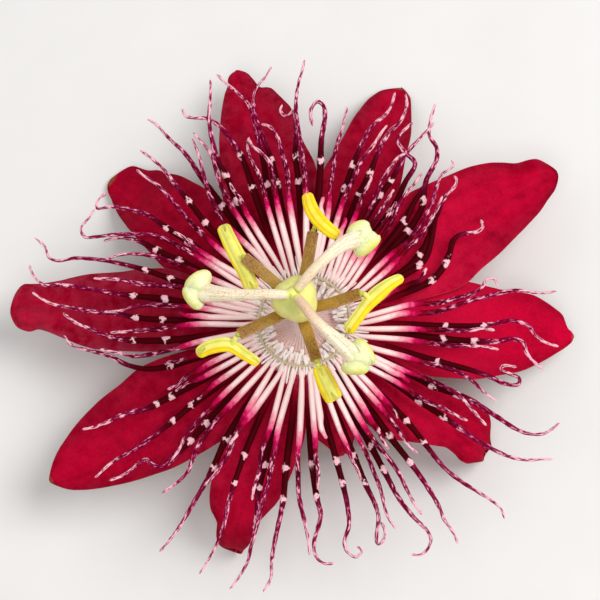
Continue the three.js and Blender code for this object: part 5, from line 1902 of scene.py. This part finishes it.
@dataclass
class Androecium:
    """The column and the five stamens that spread from its top."""

    column_grid: Grid = Grid(110, 120)
    column_profile: Stops = (
        (0, -7.7), (2.5, -7.7), (2.4, -5), (2.3, -2.4), (2.5, -0.6), (1.9, 1.2), (1.55, 4),
        (1.4, 9), (1.65, 11.6), (1.55, 12.4), (0, COLUMN_TOP),
    )
    stamens: tuple[Stamen, ...] = (
        Stamen(1, ((0.37, 1.2, 11.8), (1.92, 6.25, 14.6), (3.24, 12.8, 15.6)), Anther(
            ((2.1, 19, 16.2), (2.9, 16.1, 16.7), (4.3, 13.8, 17), (6, 12.1, 16.9), (7.7, 11, 16.4)),
            [(0, 0.95), (0.3, 1.25), (0.6, 1.3), (1, 1)], facing=90, spread=130, notch=0.2,
        )),
        Stamen(2, ((-0.87, 0.9, 11.8), (-3.31, 3.38, 13.8), (-9.31, 8.37, 15.6)), Anther(
            ((-12.9, 14.4, 13.8), (-11.4, 11, 14.2), (-8.9, 5.9, 13.8), (-7.5, 2.5, 13)),
            [(0, 1.2), (0.25, 1.35), (0.5, 1.45), (0.75, 1.35), (1, 1.3)], facing=-100, spread=125,
            notch=1.5, split=0.17,
        )),
        Stamen(3, ((-1.03, -0.7, 11.8), (-3.3, -2.25, 13.7), (-10.16, -5.91, 15.6)), Anther(
            ((-17.2, -8.6, 13.4), (-15.1, -7.5, 13.8), (-11.6, -7.1, 13.9), (-8.6, -8.9, 13.3),
             (-6.4, -10.3, 12.9)),
            [(0, 0.95), (0.2, 1.25), (0.4, 1.3), (0.55, 1.2), (0.7, 1.05), (0.85, 0.95), (1, 0.8)],
            facing=-150, spread=95, notch=1.7, split=0.2,
        )),
        Stamen(4, ((0.45, -1.2, 11.8), (1.87, -4.85, 14.2), (3.85, -11.02, 15.6)), Anther(
            ((3.9, -11.2, 14.5), (5.1, -14.0, 13.7), (6.5, -16.9, 12.2)),
            [(0, 1.15), (0.3, 1.5), (0.6, 1.65), (1, 1.5)], facing=-98, spread=142, notch=1.7,
            split=0.42,
        )),
        Stamen(5, ((1.2, -0.5, 11.9), (5.3, -0.25, 13.6), (11.73, 1.26, 15.4)), Anther(
            ((18.5, 4.3, 13.4), (16.5, 3.2, 13.8), (12.9, 0.1, 14.2), (10, -3.5, 13.7),
             (8.7, -5.3, 13.2)),
            [(0, 0.8), (0.2, 1.1), (0.4, 1.35), (0.5, 1.28), (0.65, 1.1), (0.85, 1.05), (1, 1.1)],
            facing=-18, spread=92, notch=0.7,
        )),
    )

    def build(self) -> None:
        """Makes and dresses the column, the straps and the anthers."""
        install(self._column(), "androgynophore", COLUMN.material(), "column")
        strap_finish, pod_finish = StamenFinish().material(), AntherFinish().material()
        for stamen in self.stamens:
            number = stamen.number
            install(stamen.strap(), f"stamen_filament_{number}", strap_finish, "stamen")
            pod = stamen.anther.surface(np.array(stamen.course[-1]) - [0.0, 0.0, 0.3])
            install(pod, f"anther_{number}", pod_finish, "anther")

    def _column(self) -> Surface:
        """A rod that flares at its foot, with five faint ridges that fade upwards.

        Returns:
            The column.
        """
        radius, height, share, turn = self.column_grid.turned(self.column_profile)
        ridges = 1 + 0.05 * np.cos(5 * turn) * (1 - share) + 0.015 * np.cos(22 * turn)
        rings = polar(np.degrees(turn), radius * ridges, height)
        return Surface().add_tube(rings, across=np.cos(turn) * 3, along=share)


@dataclass(frozen=True)
class Lobe:
    """One lobe of a stigma: the middle of its widest part, its outer face's bearing, its size."""

    centre: Point
    facing: float
    half_width: float
    depth: float = 1.3
    half_height: float = 2.0
    drop: float = 0.25
    neck_length: float = 3.0
    neck_half_width: float = 1.0
    neck_half_height: float = 0.9
    grid: Grid = Grid(72, 72)

    def add(self, made: Surface, start: Array) -> None:
        """Adds an arm that leaves the style at start, bends over and swells into a blunt cap.

        With x the distance from the outer face over depth, the cap closes as
        (1 - (1 - x)^2.4)^(1 / 2.4); beyond it the arm narrows smoothly to the style.

        Args:
            made: the surface that gets it.
            start: where the arm begins.
        """
        centre = np.array(self.centre)
        axis = unit(polar(self.facing, 1.0, -self.drop))
        points = np.array([start, centre - 1.3 * axis, centre, centre + self.depth * axis])
        path = Path.of_points(curve_through(points, self.grid.rings, gathered(self.grid.rings)))
        ahead = ((1 - path.share) * path.length)[:, None]
        x = np.clip(1 - ahead / self.depth, 0, 1)
        dome = (1 - np.minimum(x, 0.999) ** 2.4) ** (1 / 2.4)
        neck = smoothstep(ahead, self.depth, self.depth + self.neck_length)
        lip = 1 - 0.05 * bell(ahead, self.depth + 0.5, 0.3)
        turn = round_angles(self.grid.sides)
        warts = 1 + 0.012 * np.sin(13 * turn + 4 * ahead) * np.sin(9 * ahead + 2 * turn)
        form = dome * lip * warts
        level = (self.half_width + (self.neck_half_width - self.half_width) * neck) * form
        upright = (self.half_height + (self.neck_half_height - self.half_height) * neck) * form
        rings = path.at(level * np.cos(turn), upright * np.sin(turn))
        made.add_tube(rings, rim=1 - smoothstep(ahead, 0.4, self.depth + 0.3))


@dataclass(frozen=True)
class Carpel:
    """One style, through its course of (x, y, z) points, and the two lobes of its stigma."""

    number: int
    course: tuple[Point, ...]
    lobes: tuple[Lobe, Lobe]
    # How much painted shade falls on the style near the ovary.
    warmth: float
    half_widths: Stops = (
        (0, 0.78), (0.2, 0.88), (0.5, 1.0), (0.65, 1.2), (0.8, 1.45), (0.92, 1.7), (1, 1.6),
    )
    groove_depth: float = 0.26
    grid: Grid = Grid(120, 40)

    def rod(self) -> Surface:
        """A rod that thickens along its length, with a groove on top that parts its two arms.

        The groove is a bump of -depth * exp(-(u / 0.22)^2) that deepens over the outer half.

        Returns:
            The style.
        """
        path, share, turn = self.grid.along(self.course)
        width = through_points(share, self.half_widths) * tip_rounding(share, 0.02, 0.05)
        thick = width * (0.95 - 0.2 * smoothstep(share, 0.6, 1.0))
        u = np.cos(turn)
        groove = self.groove_depth * width * bell(u, 0, 0.22) * smoothstep(share, 0.3, 0.8)
        groove = groove * (np.sin(turn) > 0)
        rings = path.at(width * u, thick * np.sin(turn) - groove)
        return Surface().add_tube(rings, across=u, along=share, warmth=self.warmth)

    def stigma(self) -> Surface:
        """The two lobes; each arm starts within the last stretch of the style.

        Returns:
            The stigma.
        """
        made = Surface()
        start = np.array(self.course[-2])
        for lobe in self.lobes:
            lobe.add(made, start)
        return made


@dataclass
class Pistil:
    """The ovary on top of the column, with its three styles and stigmas."""

    radius: float = 3.98
    half_height: float = 4.3
    centre_height: float = 17.1
    lean: float = 0.2
    ridge_bearing: float = 185.0
    ridge_height: float = 0.06
    crease_depth: float = 0.03
    knob_height: float = 0.9
    grid: Grid = Grid(90, 144)
    pole_gap: float = 0.03
    carpels: tuple[Carpel, ...] = (
        Carpel(
            1, ((-0.2, -0.5, 21.9), (-3.5, -0.5, 22.7), (-7.6, -0.4, 22.2), (-11.3, 0, 21.2),
                (-13.7, 0.5, 20.3), (-16.4, 1.1, 19.4)),
            (Lobe((-16.2, 2.9, 19.3), 124, 2.6), Lobe((-17.1, 0.2, 19), 213, 2.4)), warmth=0.1,
        ),
        Carpel(
            2, ((0.9, 0.2, 21.9), (2.8, 2.3, 22.7), (4.5, 4.2, 22.5), (8.6, 8.2, 21.1),
                (10.6, 9.3, 20.2), (12.6, 10.1, 19.5)),
            (Lobe((11.3, 11.1, 19.4), 120, 2.2), Lobe((12.7, 8.6, 19.1), -50, 2.7)), warmth=0.5,
        ),
        Carpel(
            3, ((0.9, -0.8, 21.9), (2.5, -3.0, 22.7), (4, -5.0, 22.4), (7.3, -8.0, 21.2),
                (9.8, -10.2, 20), (11.4, -11.4, 19.4)),
            (Lobe((12, -10.1, 19.3), 34, 2.7), Lobe((10.5, -12.6, 19), -92, 2.4)), warmth=0.9,
        ),
    )

    def build(self) -> None:
        """Makes and dresses the ovary, the styles and the stigmas."""
        install(self._ovary(), "ovary", OVARY.material(), "ovary")
        rod_finish, lobe_finish = StyleFinish().material(), StigmaFinish().material()
        for carpel in self.carpels:
            install(carpel.rod(), f"style_{carpel.number}", rod_finish, "style")
            install(carpel.stigma(), f"stigma_{carpel.number}", lobe_finish, "stigma")

    def _ovary(self) -> Surface:
        """An egg of three soft ridges, drawn up into a knob where the styles meet.

        Radius = r * cos(b) * (1 - 0.08 sin(b)) * (1 + 0.06 cos(3 (a - ridge bearing))), with
        shallow creases half way between the ridges; lean sets it a little beside the axis.

        Returns:
            The ovary.
        """
        top = np.pi / 2 - self.pole_gap
        climb = np.linspace(-top, top, self.grid.rings)[:, None]
        turn = round_angles(self.grid.sides)
        third = 3 * (turn - math.radians(self.ridge_bearing))
        radius = self.radius * np.cos(climb) * (1 - 0.08 * np.sin(climb))
        creases = self.crease_depth * bell(np.cos(third), -1, 0.12)
        radius = radius * (1 + self.ridge_height * np.cos(third) - creases)
        height = self.centre_height + self.half_height * np.sin(climb)
        knob = self.knob_height * smoothstep(np.sin(climb), 0.93, 1.0)
        rings = polar(np.degrees(turn), radius, height + knob)
        rings[..., 0] += self.lean
        return Surface().add_tube(rings, across=np.sin(3 * turn), along=climb / np.pi + 0.5)


# ---- calyx, bracts and stalk


@dataclass
class Base:
    """The calyx cup, three bracts below it and the cut stalk that lies on the surface."""

    bract_bearings: tuple[float, ...] = (64.0, 184.0, 304.0)
    bract_half_width: float = 3.2
    stalk_bearing: float = 15.0
    stalk_radius: float = 1.3
    calyx_profile: Stops = (
        (0, -11.3), (2.4, -11.3), (6, -10.3), (8.4, -8), (9.1, -5.6), (9.1, -3.7),
        (8.7, -3.5), (8.4, -3.8), (7.8, -5.6), (5.6, -7.7), (0, -8.3),
    )
    bract_course: Stops = ((1.9, -12.7), (8, -12.4), (15, -11.2), (22.5, -9.6))
    calyx_grid: Grid = Grid(120, 160)
    bract_grid: Grid = Grid(60, 48)
    stalk_grid: Grid = Grid(120, 40)
    finish: GreenFinish = GreenFinish()

    def build(self) -> None:
        """Makes and dresses them all in one green finish."""
        green = self.finish.material()
        install(self._calyx(), "calyx_tube", green, "green")
        for index, bearing in enumerate(self.bract_bearings, start=1):
            install(self._bract(bearing), f"bract_{index}", green, "green")
        install(self._stalk(), "pedicel", green, "green")

    def _calyx(self) -> Surface:
        """A shallow cup with ten soft ribs outside, its wall closed over the rim.

        Returns:
            The cup.
        """
        radius, height, share, turn = self.calyx_grid.turned(self.calyx_profile)
        ribs = 1 + 0.03 * np.cos(10 * turn) * bell(share, 0.3, 0.25)
        rings = polar(np.degrees(turn), radius * ribs, height)
        flush = smoothstep(share, 0.38, 0.52) + 0 * turn
        return Surface().add_tube(rings, across=np.sin(5 * turn), along=share, flush=flush)

    def _bract(self, bearing: float) -> Surface:
        """A small leaf that hugs the calyx: narrow at its foot, pointed at its tip.

        Args:
            bearing: where it stands, in degrees.

        Returns:
            The leaf.
        """
        course = np.array([polar(bearing, r, z) for r, z in self.bract_course])
        path, share, turn = self.bract_grid.along(course)
        width = self.bract_half_width * (0.3 + 0.7 * smoothstep(share, 0, 0.4))
        width = width * np.maximum(1 - share**2, 0.02)
        u = np.cos(turn)
        veins = 0.05 * np.cos(7 * np.pi * u) * np.sin(np.pi * share)
        lift = 0.3 * np.sin(turn) * (1 - 0.5 * share) + 0.5 * u**2 * share + veins
        rings = path.at(width * u, lift)
        return Surface().add_tube(rings, across=u + 0 * share, along=share, flush=0.0)

    def _stalk(self) -> Surface:
        """A round, faintly ribbed rod that bends down and runs along the surface to its cut.

        Returns:
            The stalk.
        """
        lying = STAND.floor + self.stalk_radius
        stops = [
            (0, -11.7), (0.4, -14), (2.4, -16.8), (6, lying + 0.4), (10, lying + 0.05),
            (18, lying), (26, lying),
        ]
        bearing = self.stalk_bearing
        across = polar(bearing + 90, 1, 0)
        course = np.array([polar(bearing, r, z) for r, z in stops])
        path, share, turn = self.stalk_grid.along(course, across)
        bevel = 1 - 0.12 * smoothstep(share, 0.985, 1.0)
        radius = self.stalk_radius * (1 - 0.03 * np.cos(8 * turn)) * bevel
        rings = path.at(radius * np.cos(turn), radius * np.sin(turn))
        return Surface().add_tube(rings, across=np.cos(turn), along=share, flush=0.0)


# ---- studio


@dataclass(frozen=True)
class Lamp:
    """A square light: its name, its place and side in metres, and its power in watts."""

    name: str
    place: Point
    side: float
    power: float

    def build(self, target: Vector) -> None:
        """Adds the light, aimed at the target.

        Args:
            target: the point that it faces.
        """
        lamp = bpy.data.lights.new(self.name, "AREA")
        lamp.size = self.side
        lamp.energy = self.power
        add_object(self.name, lamp).matrix_world = aimed(Vector(self.place), target)


@dataclass
class Studio:
    """The pale floor, the soft lights and the camera that looks down on the flower."""

    distance: float = 0.4
    lens: float = 134.6
    sensor_width: float = 36.0
    towards: Point = (0.0970, -0.2400, 0.9659)
    aim_offset: Pair = (-0.0007, 0.0040)
    floor_size: float = 3.0
    lit_point: Point = (0, 0, 0.015)
    lamps: tuple[Lamp, ...] = (
        Lamp("key_light", (0.5, 0.1, 0.7), 0.5, 5.2),
        Lamp("fill_light", (-0.55, 0.3, 0.6), 0.8, 1.2),
        Lamp("front_light", (0.02, -0.3, 0.8), 0.4, 1.6),
    )
    sky: Colour = srgb(244, 244, 246)
    sky_strength: float = 0.42

    def build(self) -> None:
        """Places them."""
        self._floor()
        for lamp in self.lamps:
            lamp.build(Vector(self.lit_point))
        self._camera()
        self._surroundings()

    def _floor(self) -> None:
        """A wide square at the height that the flower lies on."""
        half = self.floor_size / 2
        mesh = bpy.data.meshes.new("floor")
        corners = [(-half, -half, 0), (half, -half, 0), (half, half, 0), (-half, half, 0)]
        mesh.from_pydata(corners, [], [(0, 1, 2, 3)])
        mesh.materials.append(FloorFinish().material())
        floor = add_object("floor", mesh)

    def _camera(self) -> None:
        """The camera, above and a little in front of the flower."""
        target = Vector((
            STAND.x + self.aim_offset[0], STAND.y + self.aim_offset[1], STAND.ring_height
        ))
        data = bpy.data.cameras.new("camera")
        data.lens = self.lens
        data.sensor_width = self.sensor_width
        camera = add_object("camera", data)
        place = target + Vector(self.towards).normalized() * self.distance
        camera.matrix_world = aimed(place, target)
        bpy.context.scene.camera = camera

    def _surroundings(self) -> None:
        """An even, pale surround, and colours shown as they are."""
        scene = bpy.context.scene
        world = bpy.data.worlds.new("studio")
        world.use_nodes = True
        background = world.node_tree.nodes["Background"]
        background.inputs["Color"].default_value = self.sky
        background.inputs["Strength"].default_value = self.sky_strength
        scene.world = world
        scene.view_settings.view_transform = "Standard"


def aimed(place: Vector, target: Vector) -> Matrix:
    """The matrix of a camera or light at place that looks at target, +Y towards its top.

    Args:
        place, target: points in metres.

    Returns:
        The world matrix.
    """
    back = (place - target).normalized()
    right = Vector((0, 1, 0)).cross(back).normalized()
    top = back.cross(right)
    turned = Matrix((right, top, back)).transposed().to_4x4()
    return Matrix.Translation(place) @ turned


def main() -> None:
    logging.basicConfig(level=logging.INFO, format="%(message)s")
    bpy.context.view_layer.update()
    Studio().build()
    Perianth().build()
    Corona().build()
    Androecium().build()
    Pistil().build()
    Base().build()
    bpy.context.view_layer.update()


if __name__ == "__main__":
    main()
